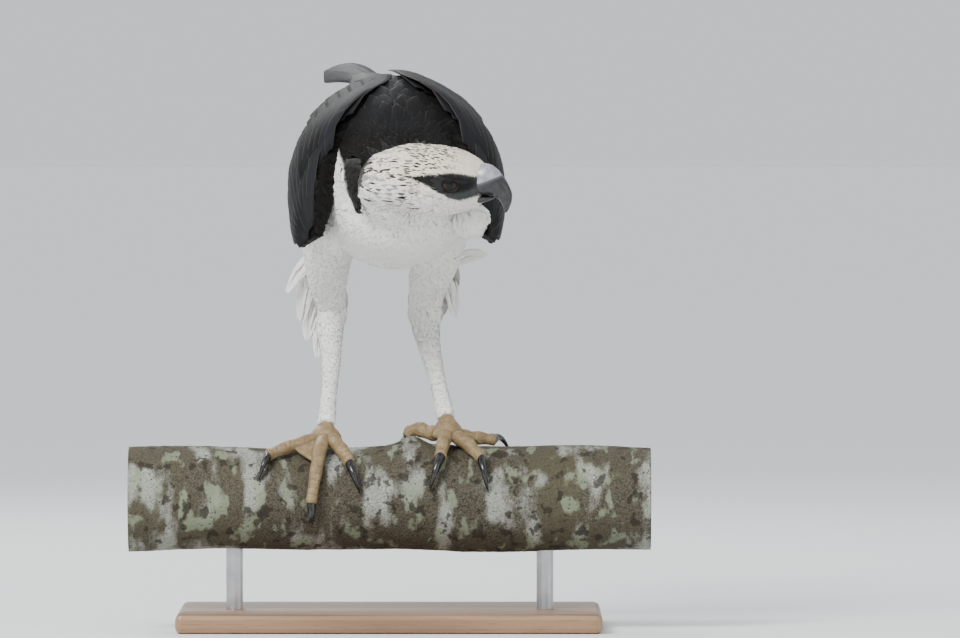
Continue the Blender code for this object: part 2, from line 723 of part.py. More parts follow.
# Longer tufts: root and tip from the perch's top, and width
TUFTS = {
    "right": (
        ((-50, 20, 136), (-74, 32, 106), 12),
        ((-56, 30, 124), (-64, 44, 84), 17),
        ((-53, 42, 106), (-60, 48, 72), 15),
        ((-49, 46, 90), (-52, 46, 60), 12),
    ),
    "left": (((44, 14, 128), (70, 28, 133), 10), ((42, 34, 118), (46, 50, 88), 13)),
}


def make_leg(side, body_cutters):
    sign = -1 if side == "right" else 1
    thigh = leg_piece("thigh_" + side, side, 0.0, ANKLE_CUT, 8, 15)
    hanging = []
    for share, turn, length, width in HEEL_LOCKS:
        middle, ahead = leg_points(side, (share, share + 0.02))
        way = unit(ahead - middle)
        across = unit(np.array([sign, 0, 0]) - np.dot((sign, 0, 0), way) * way)
        back = np.cross(way, across)
        back = unit(back if back[1] > 0 else -back)
        angle = math.radians(turn - 90)
        out = unit(math.cos(angle) * across + math.sin(angle) * back)
        half_w, half_d = leg_sizes(LEG_HALF_WIDTHS, [share])[0], leg_sizes(LEG_HALF_DEPTHS, [share])[0]
        reach = 1 / math.sqrt((np.dot(out, across) / half_w) ** 2 + (np.dot(out, back) / half_d) ** 2)
        root = middle + out * (reach - 4.0)
        target = leg_points(side, (min(share + length / 250.0, 0.72),))[0]
        tip = target + out * (leg_sizes(LEG_HALF_WIDTHS, [min(share + length / 250.0, 0.72)])[0] + 3.5)
        tip = tip + np.array([0.0, 3.0, -4.0])
        hanging.append(lock("lock", root, tip, out * 2.5, out, width, 3.2, birds))
    for root, tip, width in TUFTS[side]:
        root, tip = FEET + np.array(root), FEET + np.array(tip)
        hanging.append(lock("tuft", root, tip, (0, 0, 3), (0.3 * sign, -1, 0.2), width, 3.0, birds))
    boolean(thigh, "UNION", hanging)
    keep_largest(thigh)
    tarsus = leg_piece("tarsus_" + side, side, ANKLE_CUT, 1.0, 8, 11, trim=(GAP, 0.0))
    shin_cutter = leg_piece("shin_cutter", side, ANKLE_CUT, 1.0, 8, 11)
    grow_mesh(shin_cutter, GAP * 1.5)
    boolean(thigh, "DIFFERENCE", [shin_cutter])
    keep_largest(thigh)
    cutters = [copy_of(c, "body_cutter") for c in body_cutters]
    boolean(thigh, "DIFFERENCE", cutters)
    keep_largest(thigh)
    finish_node(thigh, WHITE_DOWN)
    finish_node(tarsus, WHITE_DOWN)
    foot = make_foot(side)
    shin_cutter = leg_piece("shin_cutter", side, 0.86, 1.0, 3, 11)
    grow_mesh(shin_cutter, GAP * 1.3)
    boolean(foot, "DIFFERENCE", [shin_cutter])
    keep_largest(foot)
    finish_node(foot, TOE_SKIN, 35)


def perch_radius(x, angle):
    """The branch's radius at a place along it and an angle forward from its top, in degrees."""
    turn = math.radians(angle)
    uneven = 0.9 * math.sin(0.021 * x + 2 * turn) + 0.7 * math.sin(0.047 * x - turn + 1.3)
    round_it = PERCH_RADIUS * math.radians(angle - KNOT_ANGLE)
    reach = ((x - KNOT_X) / KNOT_SPREAD) ** 2 + (round_it / KNOT_SPREAD) ** 2
    return PERCH_RADIUS - 1.6 + uneven + KNOT_RISE * math.exp(-reach)


def on_perch(x, angle, off):
    """A point off the branch's bark, at an angle forward from its top."""
    radius = perch_radius(x, angle) + off
    turn = math.radians(angle)
    return np.array([x, PERCH_Y - radius * math.sin(turn), PERCH_AXIS_Z + radius * math.cos(turn)])


def make_foot(side):
    before, end = leg_points(side, (0.97, 1.0))
    way = unit(end - before)
    top = end + way * GAP
    hub_x = end[0] + way[0] * 6
    hub_angle = -math.degrees(math.atan2(end[1] + way[1] * 5 - PERCH_Y, end[2] + way[2] * 5 - PERCH_AXIS_Z))
    sole = on_perch(hub_x, hub_angle, SOLE_OFF)
    middle = on_perch(hub_x, hub_angle, HUB_OFF)
    hub = tube(
        "foot_" + side,
        [top, top * 0.5 + middle * 0.5, middle, middle * 0.4 + sole * 0.6, sole],
        [9.2, 10.8, 12.4, 11.4, 6.5],
        [9.0, 10.4, 11.6, 10.8, 6.5],
        birds,
        12,
    )
    toes = []
    for number, (end_x, end_angle, claw_x, claw_angle) in TOES[side].items():
        middles, sizes = [], []
        for i in range(TOE_SCUTES * 2 + 1):
            s = i / (TOE_SCUTES * 2)
            x = hub_x + (end_x - hub_x) * (0.06 + 0.94 * s)
            angle = hub_angle + (end_angle - hub_angle) * (0.02 + 0.98 * s)
            swell = 1.0 + 0.10 * math.cos(6 * math.pi * s) - 0.22 * s
            plate = 0.0 if i % 2 == 0 else 0.55
            size = TOE_RADII[number] * swell + plate
            clear = size + 0.5 + TOE_LIFT * (1 - s) ** 1.5
            middles.append(on_perch(x, angle, clear))
            sizes.append(size)
        toes.append(toe_tube("toe", middles, sizes))
        make_claw(side, number, middles, sizes, end_angle, claw_x, claw_angle)
    boolean(hub, "UNION", toes)
    keep_largest(hub)
    return hub


def toe_tube(name, middles, sizes):
    middles = np.asarray(middles)
    rings = []
    for i, middle in enumerate(middles):
        way = unit(middles[min(i + 1, len(middles) - 1)] - middles[max(i - 1, 0)])
        outward = middle - np.array([middle[0], PERCH_Y, PERCH_AXIS_Z])
        outward = unit(outward - np.dot(outward, way) * way)
        size = sizes[i]
        rings.append(oval(middle, np.cross(way, outward), outward, size, size, size * 0.96, TOE_SIDES))
    return loft(name, rings, birds)


def make_claw(side, number, toe_middles, toe_sizes, end_angle, claw_x, claw_angle):
    """A talon: it leaves the toe's end, arches away from the bark and comes back to it."""
    base_radius = CLAW_RADII[number]
    end, before = np.asarray(toe_middles[-1]), np.asarray(toe_middles[-2])
    way = unit(end - before)
    start = end + way * (GAP + 0.2)
    start_off = toe_sizes[-1] + 0.5
    middles, sizes = [], []
    for i in range(CLAW_STEPS + 1):
        s = i / CLAW_STEPS
        size = base_radius * (1 - s) ** 0.8 + 0.35
        if i == 0:
            middles.append(start)
            sizes.append((size * 0.86, size))
            continue
        x = start[0] + (claw_x - start[0]) * s
        angle = end_angle + (claw_angle - end_angle) * (0.08 + 0.92 * s)
        off = max(start_off * (1 - s) + CLAW_ARCH * math.sin(math.pi * min(1.0, s * 1.05)), size + 0.6)
        middles.append(on_perch(x, angle, off))
        sizes.append((size * 0.86, size))
    rings = []
    middles = np.asarray(middles)
    for i, middle in enumerate(middles):
        along = unit(middles[min(i + 1, CLAW_STEPS)] - middles[max(i - 1, 0)]) if i else way
        outward = middle - np.array([middle[0], PERCH_Y, PERCH_AXIS_Z])
        outward = unit(outward - np.dot(outward, along) * along)
        wide, deep = sizes[i]
        rings.append(oval(middle, np.cross(along, outward), outward, wide, deep, deep, CLAW_SIDES))
    claw = loft(f"claw_{side}_{number}", rings, birds)
    finish_node(claw, HORN, 70)


# Wings


def wing_edges(side, along):
    """Lower edge, bulge and upper edge of the folded wing at a place along the body, as (side, height)."""
    table = WING_STATIONS[side]
    return [smooth_point([s[0] for s in table], [s[k] for s in table], along) for k in (1, 2, 3)]


def wing_point(side, along, across, height=0.0):
    """A point of the folded wing's outer face: across runs from 0 at its lower edge to 1 at its upper one."""
    sign = -1 if side == "right" else 1
    low, bulge, high = wing_edges(side, along)
    t = across
    p = (1 - t) ** 2 * low + 2 * t * (1 - t) * bulge + t * t * high
    slope = 2 * (1 - t) * (bulge - low) + 2 * t * (high - bulge)
    normal = unit(np.array([slope[1], -slope[0]]))
    if height:
        p = p + normal * height
    return from_body(sign * p[0], along, p[1])


def wing_spread(side, along, across):
    """How many millimetres one unit of across covers there."""
    step = 0.02
    above, below = wing_point(side, along, across + step), wing_point(side, along, across - step)
    return np.linalg.norm(above - below) / (2 * step)


def wing_core(side):
    across_steps = np.linspace(0.03, 0.97, CORE_ROWS)
    rings = []
    for along in CORE_RINGS:
        skin = smooth(CORE_DEPTH_STATIONS, CORE_SKIN, along)
        thick = smooth(CORE_DEPTH_STATIONS, CORE_THICK, along)
        outer = [wing_point(side, along, t, skin) for t in across_steps]
        inner = [
            wing_point(side, along, t, skin - 1.4 - thick * (1 - abs(2 * t - 1) ** 10))
            for t in reversed(across_steps)
        ]
        rings.append(outer + inner)
    return loft("wing_" + side, rings, birds)


def slab(name, rows, home):
    """A vane from rows of points across it, the last of each row being the way down to its lower face."""
    across = len(rows[0]) - 1
    points = []
    for *row, down in rows:
        points += row + [p + down for p in row]
    faces = []
    for q in range(len(rows) - 1):
        a, b = 2 * across * q, 2 * across * (q + 1)
        for i in range(across - 1):
            # Both broad faces are split along the same diagonal, so that a curved vane doesn't cross itself
            top, under = a + i, a + across + i
            step = b - a
            faces += [(top, top + 1, top + 1 + step), (top, top + 1 + step, top + step)]
            faces += [(under, under + 1 + step, under + 1), (under, under + step, under + 1 + step)]
        for i in (0, across - 1):
            faces += [(a + i, b + i, b + across + i), (a + i, b + across + i, a + across + i)]
    last = 2 * across * (len(rows) - 1)
    for end in (0, last):
        for i in range(across - 1):
            top, under = end + i, end + across + i
            faces += [(top, under, under + 1), (top, under + 1, top + 1)]
    return new_object(name, points, faces, home)


def vane(name, side, root, tip, heights, half_width, tilt, home):
    """One feather on the wing: root and tip are (along, across), heights run from root to tip.

    Its lower edge stands higher than its upper one by the tilt, so that a row of them lies like shingles."""
    rows = []
    for s, share in zip(VANE_PLACES, VANE_WIDTHS):
        along = root[0] + (tip[0] - root[0]) * s
        across = root[1] + (tip[1] - root[1]) * s
        height = np.interp(s, (0, VANE_PLACES[1], 1), heights)
        part = half_width * share / wing_spread(side, along, across)
        row = [wing_point(side, along, across + k * part, height - tilt * k * share) for k in (-1, 0, 1)]
        down = wing_point(side, along, across, height - VANE_THICK) - wing_point(side, along, across, height)
        rows.append((*row, down))
    return slab(name, rows, home)


# Feather tiers of a wing: name, count, first and last root as (along, across), first and last tip, how far
# the middle tips reach beyond a straight row, heights over the wing's face from root to tip, half width, tilt
FEATHER_TIERS = (
    ("primary", 4, (122, 0.12), (124, 0.62), (262, 0.18), (298, 0.86), 10, (-14.6, -10.4, -9.8), 10.5, 2.0),
    ("secondary", 5, (34, 0.16), (24, 0.88), (158, 0.15), (200, 0.88), 12, (-11.2, -6.6, -6.0), 17.0, 1.8),
    ("greater", 5, (-16, 0.16), (-12, 0.88), (72, 0.14), (106, 0.88), 6, (-8.0, -2.6, -2.2), 17.5, 1.6),
    ("median", 4, (-48, 0.26), (-42, 0.80), (26, 0.28), (38, 0.82), 4, (-6.0, 1.0, 1.6), 15.0, 1.5),
    ("scapular", 2, (-52, 0.84), (-46, 0.93), (50, 0.78), (76, 0.90), 6, (-5.5, 3.6, 4.2), 10.5, 1.2),
)


def tier_feathers(side, home):
    """Every vane of a wing, tier by tier."""
    made = []
    for name, count, root_a, root_b, tip_a, tip_b, swell, heights, half_width, tilt in FEATHER_TIERS:
        for i in range(count):
            s = i / (count - 1)
            root = np.array(root_a) * (1 - s) + np.array(root_b) * s
            tip = np.array(tip_a) * (1 - s) + np.array(tip_b) * s
            tip[0] += swell * math.sin(math.pi * s)
            made.append(vane(name, side, root, tip, heights, half_width, tilt, home))
    return made


def make_wing(side, cutters):
    wing = wing_core(side)
    boolean(wing, "UNION", tier_feathers(side, birds))
    keep_largest(wing)
    boolean(wing, "DIFFERENCE", [copy_of(c, "cutter") for c in cutters])
    keep_largest(wing)
    finish_node(wing, DARK_FEATHER)
    return wing


# Tail feathers


def tail_point(side, along, height):
    """A point over the tail's face, which arches down a little to both sides."""
    pitch = math.tan(math.radians(TAIL_PITCH))
    z = TAIL_BASE[2] + along * pitch - 0.0042 * side * side + height
    return from_body(side, TAIL_BASE[1] + along, z)


def tail_vane(name, turn, length, height, half_width, home, root_side=0.0, root=0.0, droop=0.0, roof=1.0):
    cos, sin = math.cos(math.radians(turn)), math.sin(math.radians(turn))
    rows = []
    for s, share in zip(TAIL_VANE_PLACES, TAIL_VANE_WIDTHS):
        along = length * s
        side = root_side + along * sin
        ends = []
        for k in (-1, 1):
            lean = -0.006 * roof * k * half_width * share * (1 if turn > 0 else -1)
            reach = k * half_width * share
            onward = root + along * cos - reach * sin
            ends.append(tail_point(side + reach * cos, onward, height - droop * s + lean))
        rows.append((*ends, np.array([0, 0, -TAIL_VANE_THICK])))
    return slab(name, rows, home)


def tail_shape(name, grow, stations):
    """The root of the tail, and with other stations the room that the whole tail takes up."""
    rings = []
    for along, width, rise, drop in TAIL_ROOT[:2] + stations:
        middle = from_body(0, TAIL_BASE[1] + along, TAIL_BASE[2] + (1.0 if along < 0 else 0.0))
        side = unit(from_body(1, 0, 0) - from_body(0, 0, 0))
        rings.append(oval(middle, side, (0, 0, 1), width + grow, rise + grow, drop + grow, 16))
    return loft(name, rings, birds)


def make_tail():
    tail = tail_shape("tail", 0.0, TAIL_ROOT[2:])
    vanes = []
    for pair in range(6):
        for sign in (-1, 1):
            turn = sign * (0.9 + pair * TAIL_SPREAD / 5)
            height = 5.2 - TAIL_LAYER * (2 * pair + (sign < 0))
            length = TAIL_LENGTH - 0.8 * pair * pair
            side = sign * (2.5 + 2.0 * pair)
            vanes.append(tail_vane("rectrix", turn, length, height, 15.5, birds, root_side=side, root=8))
    for i in range(3):
        over = abs(i - 1)
        turn = (i - 1) * 8.0 or 0.01
        side = (i - 1) * 9.0
        top, under = 11.5 - 2.4 * over, -12.5 + 1.2 * over
        vanes.append(tail_vane("upper_covert", turn, 88 - 8 * over, top, 9.5, birds, side, -2, 4.0))
        vanes.append(tail_vane("under_covert", turn, 104 - 9 * over, under, 10, birds, side, -2, -0.5, -1))
    boolean(tail, "UNION", vanes)
    keep_largest(tail)
    cut_flat(tail, from_body(0, TAIL_START + GAP, 0), from_body(0, 0, 0) - from_body(0, 1, 0))
    keep_largest(tail)
    finish_node(tail, DARK_FEATHER)
    return tail


# Perch and stand


def make_perch():
    rings = []
    for x in PERCH_LENGTH * np.linspace(-0.5, 0.5, PERCH_RINGS):
        rings.append([on_perch(x, 360.0 * (j + 0.5) / PERCH_SIDES, 0.0) for j in range(PERCH_SIDES)])
    perch = loft("perch", rings, birds)
    bottom, top = BASE_THICK + ROD_FREE / 2, BASE_THICK + ROD_FREE + ROD_SEAT + GAP
    places, wide = (-ROD_APART / 2, ROD_APART / 2), ROD_RADIUS + GAP
    holes = [cylinder("hole", wide, x, PERCH_Y, bottom, top, birds) for x in places]
    boolean(perch, "DIFFERENCE", holes)
    finish_node(perch, BARK, 50)


def cylinder(name, radius, x, y, bottom, top, home, sides=16):
    edit = bmesh.new()
    wide, tall = radius * MM, (top - bottom) * MM
    bmesh.ops.create_cone(edit, cap_ends=True, segments=sides, radius1=wide, radius2=wide, depth=tall)
    bmesh.ops.translate(edit, verts=edit.verts, vec=Vector((x, y, (top + bottom) / 2)) * MM)
    mesh = bpy.data.meshes.new(name)
    edit.to_mesh(mesh)
    edit.free()
    made = bpy.data.objects.new(name, mesh)
    home.objects.link(made)
    return made


def make_stand():
    edit = bmesh.new()
    bmesh.ops.create_cube(edit, size=1.0)
    bmesh.ops.scale(edit, verts=edit.verts, vec=Vector((BASE_LENGTH, BASE_DEPTH, BASE_THICK)) * MM)
    bmesh.ops.translate(edit, verts=edit.verts, vec=Vector((0, 0, BASE_THICK / 2)) * MM)
    mesh = bpy.data.meshes.new("stand_base")
    edit.to_mesh(mesh)
    edit.free()
    base = bpy.data.objects.new("stand_base", mesh)
    birds.objects.link(base)
    rounding = base.modifiers.new("rounding", "BEVEL")
    rounding.width = BASE_ROUNDING * MM
    rounding.segments = 2
    rounding.limit_method = "ANGLE"
    rounding.angle_limit = math.radians(60)
    apply_modifiers(base)
    holes = []
    sunk = BASE_THICK - ROD_SUNK
    for side, name in ((-1, "right"), (1, "left")):
        x = side * ROD_APART / 2
        holes.append(cylinder("hole", ROD_RADIUS + GAP, x, PERCH_Y, sunk - GAP, BASE_THICK + 10.0, birds))
        rod_top = BASE_THICK + ROD_FREE + ROD_SEAT
        rod = cylinder("stand_rod_" + name, ROD_RADIUS, x, PERCH_Y, sunk, rod_top, birds)
        finish_node(rod, STEEL)
    boolean(base, "DIFFERENCE", holes)
    finish_node(base, STAND_WOOD)


DARK_FEATHER = add_material("dark_feather", (0.035, 0.032, 0.030), 0.6)
WHITE_DOWN = add_material("white_down", (0.78, 0.78, 0.72), 0.8)
HEAD_FEATHER = add_material("head_feather", (0.80, 0.77, 0.68), 0.8)
IRIS = add_material("iris", (0.10, 0.07, 0.03), 0.1)
BILL = add_material("bill", (0.05, 0.055, 0.06), 0.35)
TOE_SKIN = add_material("toe_skin", (0.62, 0.48, 0.27), 0.55)
HORN = add_material("horn", (0.02, 0.02, 0.022), 0.3)
BARK = add_material("bark", (0.30, 0.27, 0.22), 0.9)
STEEL = add_material("steel", (0.45, 0.45, 0.46), 0.35, 0.9)
STAND_WOOD = add_material("stand_wood", (0.20, 0.12, 0.07), 0.5)

head, neck, torso = make_head_and_body()
make_bill(head)
finish_node(head, HEAD_FEATHER)
finish_node(neck, HEAD_FEATHER)
finish_node(torso, WHITE_DOWN)

body_cutters = [shape("body_cutter", 2.2 * GAP) for shape in (torso_shape, neck_shape, head_shape)]
for side in ("right", "left"):
    make_leg(side, body_cutters)
tail = make_tail()
mantle_cutters = [shape("mantle_cutter", 4 * GAP) for shape in (torso_shape, neck_shape, head_shape)]
make_mantle(mantle_cutters)
for cutter in mantle_cutters:
    bpy.data.objects.remove(cutter)
wing_cutters = body_cutters + [mantle_shape("mantle_room", -4.0, 6.0, 5.5, 2.0, 0.1)]
wing_cutters.append(breast_lobe("lobe_room", 3 * GAP))
for side in ("right", "left"):
    wing_cutters.append(leg_piece("thigh_room", side, 0.0, 0.4, 7, 16, (-2.0, 0.0), 1.5))
wing_cutters.append(tail_shape("tail_room", 1.6, TAIL_ROOM))
for side in ("right", "left"):
    make_wing(side, wing_cutters)
for cutter in wing_cutters:
    bpy.data.objects.remove(cutter)
make_perch()
make_stand()
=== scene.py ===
# %% [markdown]
# # A hawk-eagle leaning over its branch
#
# This notebook dresses a life-size model of a Flores hawk-eagle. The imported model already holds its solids:
# body, wings, tail, legs, feet, branch and stand. Here each of them gets the surface that a visitor would
# look at. We start by loading the solids as a fixed frame, because every new piece must sit where they sit.

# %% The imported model
import itertools
import math

import bmesh
import bpy
import numpy as np
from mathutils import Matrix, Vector, noise
from mathutils.bvhtree import BVHTree


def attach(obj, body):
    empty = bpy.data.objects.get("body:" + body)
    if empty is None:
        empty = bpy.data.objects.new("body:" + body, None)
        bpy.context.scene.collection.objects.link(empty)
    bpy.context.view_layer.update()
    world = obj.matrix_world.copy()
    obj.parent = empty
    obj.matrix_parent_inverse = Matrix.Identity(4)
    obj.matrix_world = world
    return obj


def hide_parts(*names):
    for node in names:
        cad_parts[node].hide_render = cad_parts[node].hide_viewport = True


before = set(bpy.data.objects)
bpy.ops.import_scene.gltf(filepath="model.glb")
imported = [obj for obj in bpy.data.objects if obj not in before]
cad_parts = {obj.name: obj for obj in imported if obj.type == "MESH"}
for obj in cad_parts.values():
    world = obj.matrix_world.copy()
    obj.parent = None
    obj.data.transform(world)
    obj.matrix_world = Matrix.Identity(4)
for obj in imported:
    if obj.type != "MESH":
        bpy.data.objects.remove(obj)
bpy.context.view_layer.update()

MM = 0.001
rng = np.random.default_rng(20)

# %% [markdown]
# ## A camera far away with a long lens
#
# The bird was seen from its own height, from many metres off, so its legs stay almost parallel and the near
# and far foot have the same size. A short lens close by would make the head swell. So the camera stands
# nine metres in front, one degree above the bird, and the lens is worked out from the width that it has to
# cover. It looks at a point a little lower than the bird, so that the whole stand shows.

# %% The camera
def placed(name, data):
    """An object with this data, in the scene."""
    made = bpy.data.objects.new(name, data)
    bpy.context.scene.collection.objects.link(made)
    return made


SHOT_WIDTH, SHOT_FAR, SHOT_RISE, SENSOR = 0.682, 9.0, math.radians(1.0), 36.0
SHOT_MIDDLE = Vector((0.064, 0.0, 0.2193))
view = bpy.data.cameras.new("view")
view.sensor_width = SENSOR
view.lens = SENSOR * SHOT_FAR / SHOT_WIDTH
view.clip_end = 120.0
camera = placed("camera", view)
camera.location = SHOT_MIDDLE + SHOT_FAR * Vector((0, -math.cos(SHOT_RISE), math.sin(SHOT_RISE)))
camera.rotation_euler = (SHOT_MIDDLE - camera.location).to_track_quat("-Z", "Y").to_euler()
bpy.context.scene.camera = camera
print("lens:", round(view.lens), "mm")

# %% [markdown]
# ## Soft light and a plain floor
#
# White feathers show their shape only if the light has a direction, and black ones only if it is broad. A
# large, soft key light from the upper left does both, a weaker one fills the other side, and a third from
# behind draws the edge of the dark wings. A faint, wide sun and an even sky light the floor right out to
# the horizon, where it should melt into the background. The floor is one wide, matt, pale sheet.

# %% Lights and floor
def soft_light(name, place, aim, size, power):
    lamp = bpy.data.lights.new(name, "AREA")
    lamp.shape, lamp.size, lamp.energy = "DISK", size, power
    made = placed(name, lamp)
    made.location = place
    made.rotation_euler = (Vector(aim) - Vector(place)).to_track_quat("-Z", "Y").to_euler()


BIRD = (0.0, 0.0, 0.3)
soft_light("key", (-1.4, -2.0, 2.0), BIRD, 1.0, 92)
soft_light("fill", (2.0, -1.6, 0.8), BIRD, 2.0, 12)
soft_light("edge", (-0.6, 2.2, 1.9), BIRD, 1.0, 30)
day = bpy.data.lights.new("day", "SUN")
day.energy, day.angle = 1.0, math.radians(30)
placed("day", day).rotation_euler = (math.radians(35), math.radians(-20), 0)
sky = bpy.data.worlds.new("studio")
sky.use_nodes = True
backdrop = sky.node_tree.nodes["Background"]
backdrop.inputs["Color"].default_value = (0.84, 0.86, 0.88, 1)
backdrop.inputs["Strength"].default_value = 0.98
bpy.context.scene.world = sky

sheet = bmesh.new()
bmesh.ops.create_grid(sheet, x_segments=2, y_segments=2, size=60.0)
floor_mesh = bpy.data.meshes.new("floor")
sheet.to_mesh(floor_mesh)
sheet.free()
floor = placed("floor", floor_mesh)
floor_paint = bpy.data.materials.new("floor_paint")
floor_paint.use_nodes = True
floor_shader = floor_paint.node_tree.nodes["Principled BSDF"]
floor_shader.inputs["Base Color"].default_value = (0.80, 0.81, 0.82, 1)
floor_shader.inputs["Roughness"].default_value = 0.9
floor_mesh.materials.append(floor_paint)
print("lights and floor ready")

# %% [markdown]
# ## The bird's measurements
#
# All its forms come from a few tables: stations along the body, the head, the legs and the wings, in
# millimetres. They could be measured on the loaded solids, but a short table is easier to read and to
# change. Its numbers follow the solids closely, so that the feathers lie where the solids end.

# %% Body and head stations
PERCH_Y, BASE_THICK, ROD_FREE, PERCH_RADIUS, PERCH_LENGTH = -20.0, 14.0, 40.0, 38.5, 370.0
PERCH_AXIS_Z = BASE_THICK + ROD_FREE + PERCH_RADIUS
FEET = np.array([0.0, PERCH_Y, PERCH_AXIS_Z + PERCH_RADIUS])
BODY_YAW, BODY_X = math.radians(3.0), 3.5
TORSO = np.array([  # place along the body, height of its middle, half width, rise and drop
    (-94, 168, 12, 12, 14), (-86, 169, 33, 30, 30), (-68, 172, 53, 46, 43), (-38, 178, 61, 57, 54),
    (0, 185, 61, 59, 64), (40, 193, 57, 52, 60), (80, 202, 47, 41, 50), (118, 208, 34, 32, 35),
    (150, 212, 24, 17, 20),
], float)
HEAD_PLACE, HEAD_ROLL = np.array([36.0, -128.0, 188.0]), math.radians(10.0)
HEAD = np.array([  # place along the head, rise of the crown, drop of the throat, half width
    (-42, 17, -18, 22), (-32, 22, -24, 27), (-18, 25.3, -27, 29.5), (-3, 25.8, -27, 30),
    (11, 25.4, -25, 27), (22, 22.8, -21.5, 21), (29, 19.8, -18, 15.5), (33.5, 16.4, -14.8, 12.2),
], float)
EYE_ALONG, EYE_SIDE, EYE_RISE = 14.5, 18.6, 2.2
LEG_PATHS = {  # hip, mid thigh, knee, shin and foot, from the top of the perch
    "right": [(-38, -24, 172), (-44, 12, 140), (-45, 44, 112), (-43, 53, 96), (-43, 46, 82), (-42, 29, 58),
              (-43.5, 12, 34), (-45, -2, 13)],
    "left": [(36, -24, 172), (34, 12, 140), (27, 44, 112), (25, 53, 96), (25.5, 46, 82), (30, 30, 60),
             (35.5, 13, 38), (40, -1, 18)],
}
LEG_HALF_WIDTHS = (29, 22, 18.0, 15.5, 12.2, 9.4, 8.2, 9.2)
LEG_HALF_DEPTHS = (37, 30, 21, 16, 12.5, 9.4, 8.2, 9.0)
LEG_SHARES = np.linspace(0, 1, len(LEG_HALF_WIDTHS))
MANTLE = np.array([  # place along the body, how far the dark back reaches to both sides in degrees
    (-90, 84), (-80, 58), (-60, 43), (-42, 41), (-24, 40), (0, 40), (60, 42), (110, 60), (140, 90),
], float)
MANTLE_RISE = ((-94, 0), (-84, 1), (-68, 5), (-42, 8.5), (-20, 11), (10, 14.5), (60, 16), (110, 15), (150, 9))
print("stations: body", len(TORSO), "head", len(HEAD), "legs", len(LEG_SHARES))

# %% [markdown]
# ## Curves through the tables
#
# A bird has no corners, so its sizes must change gently from station to station. Straight lines would
# crease at each station, and a free spline swings out beyond the numbers. This curve keeps between them.

# %% A curve that never overshoots
def smooth(xs, ys, x):
    """A curve through the points (xs, ys) that doesn't overshoot, read at every x."""
    xs, ys, x = np.asarray(xs, float), np.asarray(ys, float), np.asarray(x, float)
    gaps, slopes = np.diff(xs), np.diff(ys) / np.diff(xs)
    tangents = np.concatenate([slopes[:1], np.zeros(len(xs) - 2), slopes[-1:]])
    share = gaps[:-1] / (gaps[:-1] + gaps[1:])
    climbing = slopes[:-1] * slopes[1:] > 0
    both = np.where(climbing, share * slopes[:-1] + (1 - share) * slopes[1:], 1)
    tangents[1:-1] = np.where(climbing, slopes[:-1] * slopes[1:] / both, 0)
    x = np.clip(x, xs[0], xs[-1])
    i = np.clip(np.searchsorted(xs, x, side="right") - 1, 0, len(xs) - 2)
    s = (x - xs[i]) / gaps[i]
    ends = ys[i] * (1 + 2 * s) * (1 - s) ** 2 + ys[i + 1] * s * s * (3 - 2 * s)
    return ends + gaps[i] * (tangents[i] * s * (1 - s) ** 2 - tangents[i + 1] * s * s * (1 - s))


def smooth_points(xs, points, x):
    return np.stack([smooth(xs, [p[k] for p in points], x) for k in range(len(points[0]))], axis=-1)


def unit(v):
    v = np.asarray(v, float)
    return v / np.maximum(np.linalg.norm(v, axis=-1, keepdims=True), 1e-9)


print("half width of the body at its middle:", smooth(TORSO[:, 0], TORSO[:, 2], 0.0), "mm")

# %% [markdown]
# ## Each part's own directions
#
# The body is turned a little, the head a lot more and tipped as well. Parented objects could carry that.
# Here functions do it, there and back, since thousands of feather roots pass through them as arrays.

# %% Places on the body, the head and the legs
def from_body(side, along, height):
    """Places given beside, along and above the body's own line."""
    side, along, height = np.broadcast_arrays(*(np.asarray(v, float) for v in (side, along, height)))
    cos, sin = math.cos(BODY_YAW), math.sin(BODY_YAW)
    return FEET + np.stack([BODY_X + side * cos - along * sin, side * sin + along * cos, height], axis=-1)


def to_body(points):
    """The way back: beside, along and above the body's line."""
    p = points - FEET - np.array([BODY_X, 0, 0])
    cos, sin = math.cos(BODY_YAW), math.sin(BODY_YAW)
    return p[:, 0] * cos + p[:, 1] * sin, p[:, 1] * cos - p[:, 0] * sin, p[:, 2]


HEAD_FORWARD = unit((0.93, -0.35, -0.11))
level = unit(np.cross(HEAD_FORWARD, (0, 0, 1)))
HEAD_RIGHT = math.cos(HEAD_ROLL) * level - math.sin(HEAD_ROLL) * np.cross(level, HEAD_FORWARD)
HEAD_UP = np.cross(HEAD_RIGHT, HEAD_FORWARD)


def from_head(along, side, rise):
    """Places given forward of, to the right of and above the middle of the head."""
    along, side, rise = np.broadcast_arrays(*(np.asarray(v, float)[..., None] for v in (along, side, rise)))
    return FEET + HEAD_PLACE + along * HEAD_FORWARD + side * HEAD_RIGHT + rise * HEAD_UP


def to_head(points):
    p = points - FEET - HEAD_PLACE
    return p @ HEAD_FORWARD, p @ HEAD_RIGHT, p @ HEAD_UP


def leg_point(side, share):
    return FEET + smooth_points(LEG_SHARES, LEG_PATHS[side], share)


def leg_size(sizes, share):
    return smooth(LEG_SHARES, sizes, share)


print("eye at", np.round(from_head(EYE_ALONG, EYE_SIDE, EYE_RISE), 1), "mm")

# %% [markdown]
# ## One skin under all the feathers
#
# A live bird has one skin, so the joints between the solids must not show. It could be sculpted by hand.
# Here each part is a loft: rings of points with faces bridged between them. The lofts are drawn smaller
# than the solids by the depth of the coat, and later fused into one closed surface.

# %% Lofts
def finished(name, shape, material=None):
    """Turns a bmesh into a smooth-shaded object in the scene."""
    mesh = bpy.data.meshes.new(name)
    shape.to_mesh(mesh)
    shape.free()
    if material:
        mesh.materials.append(material)
    mesh.shade_smooth()
    return placed(name, mesh)


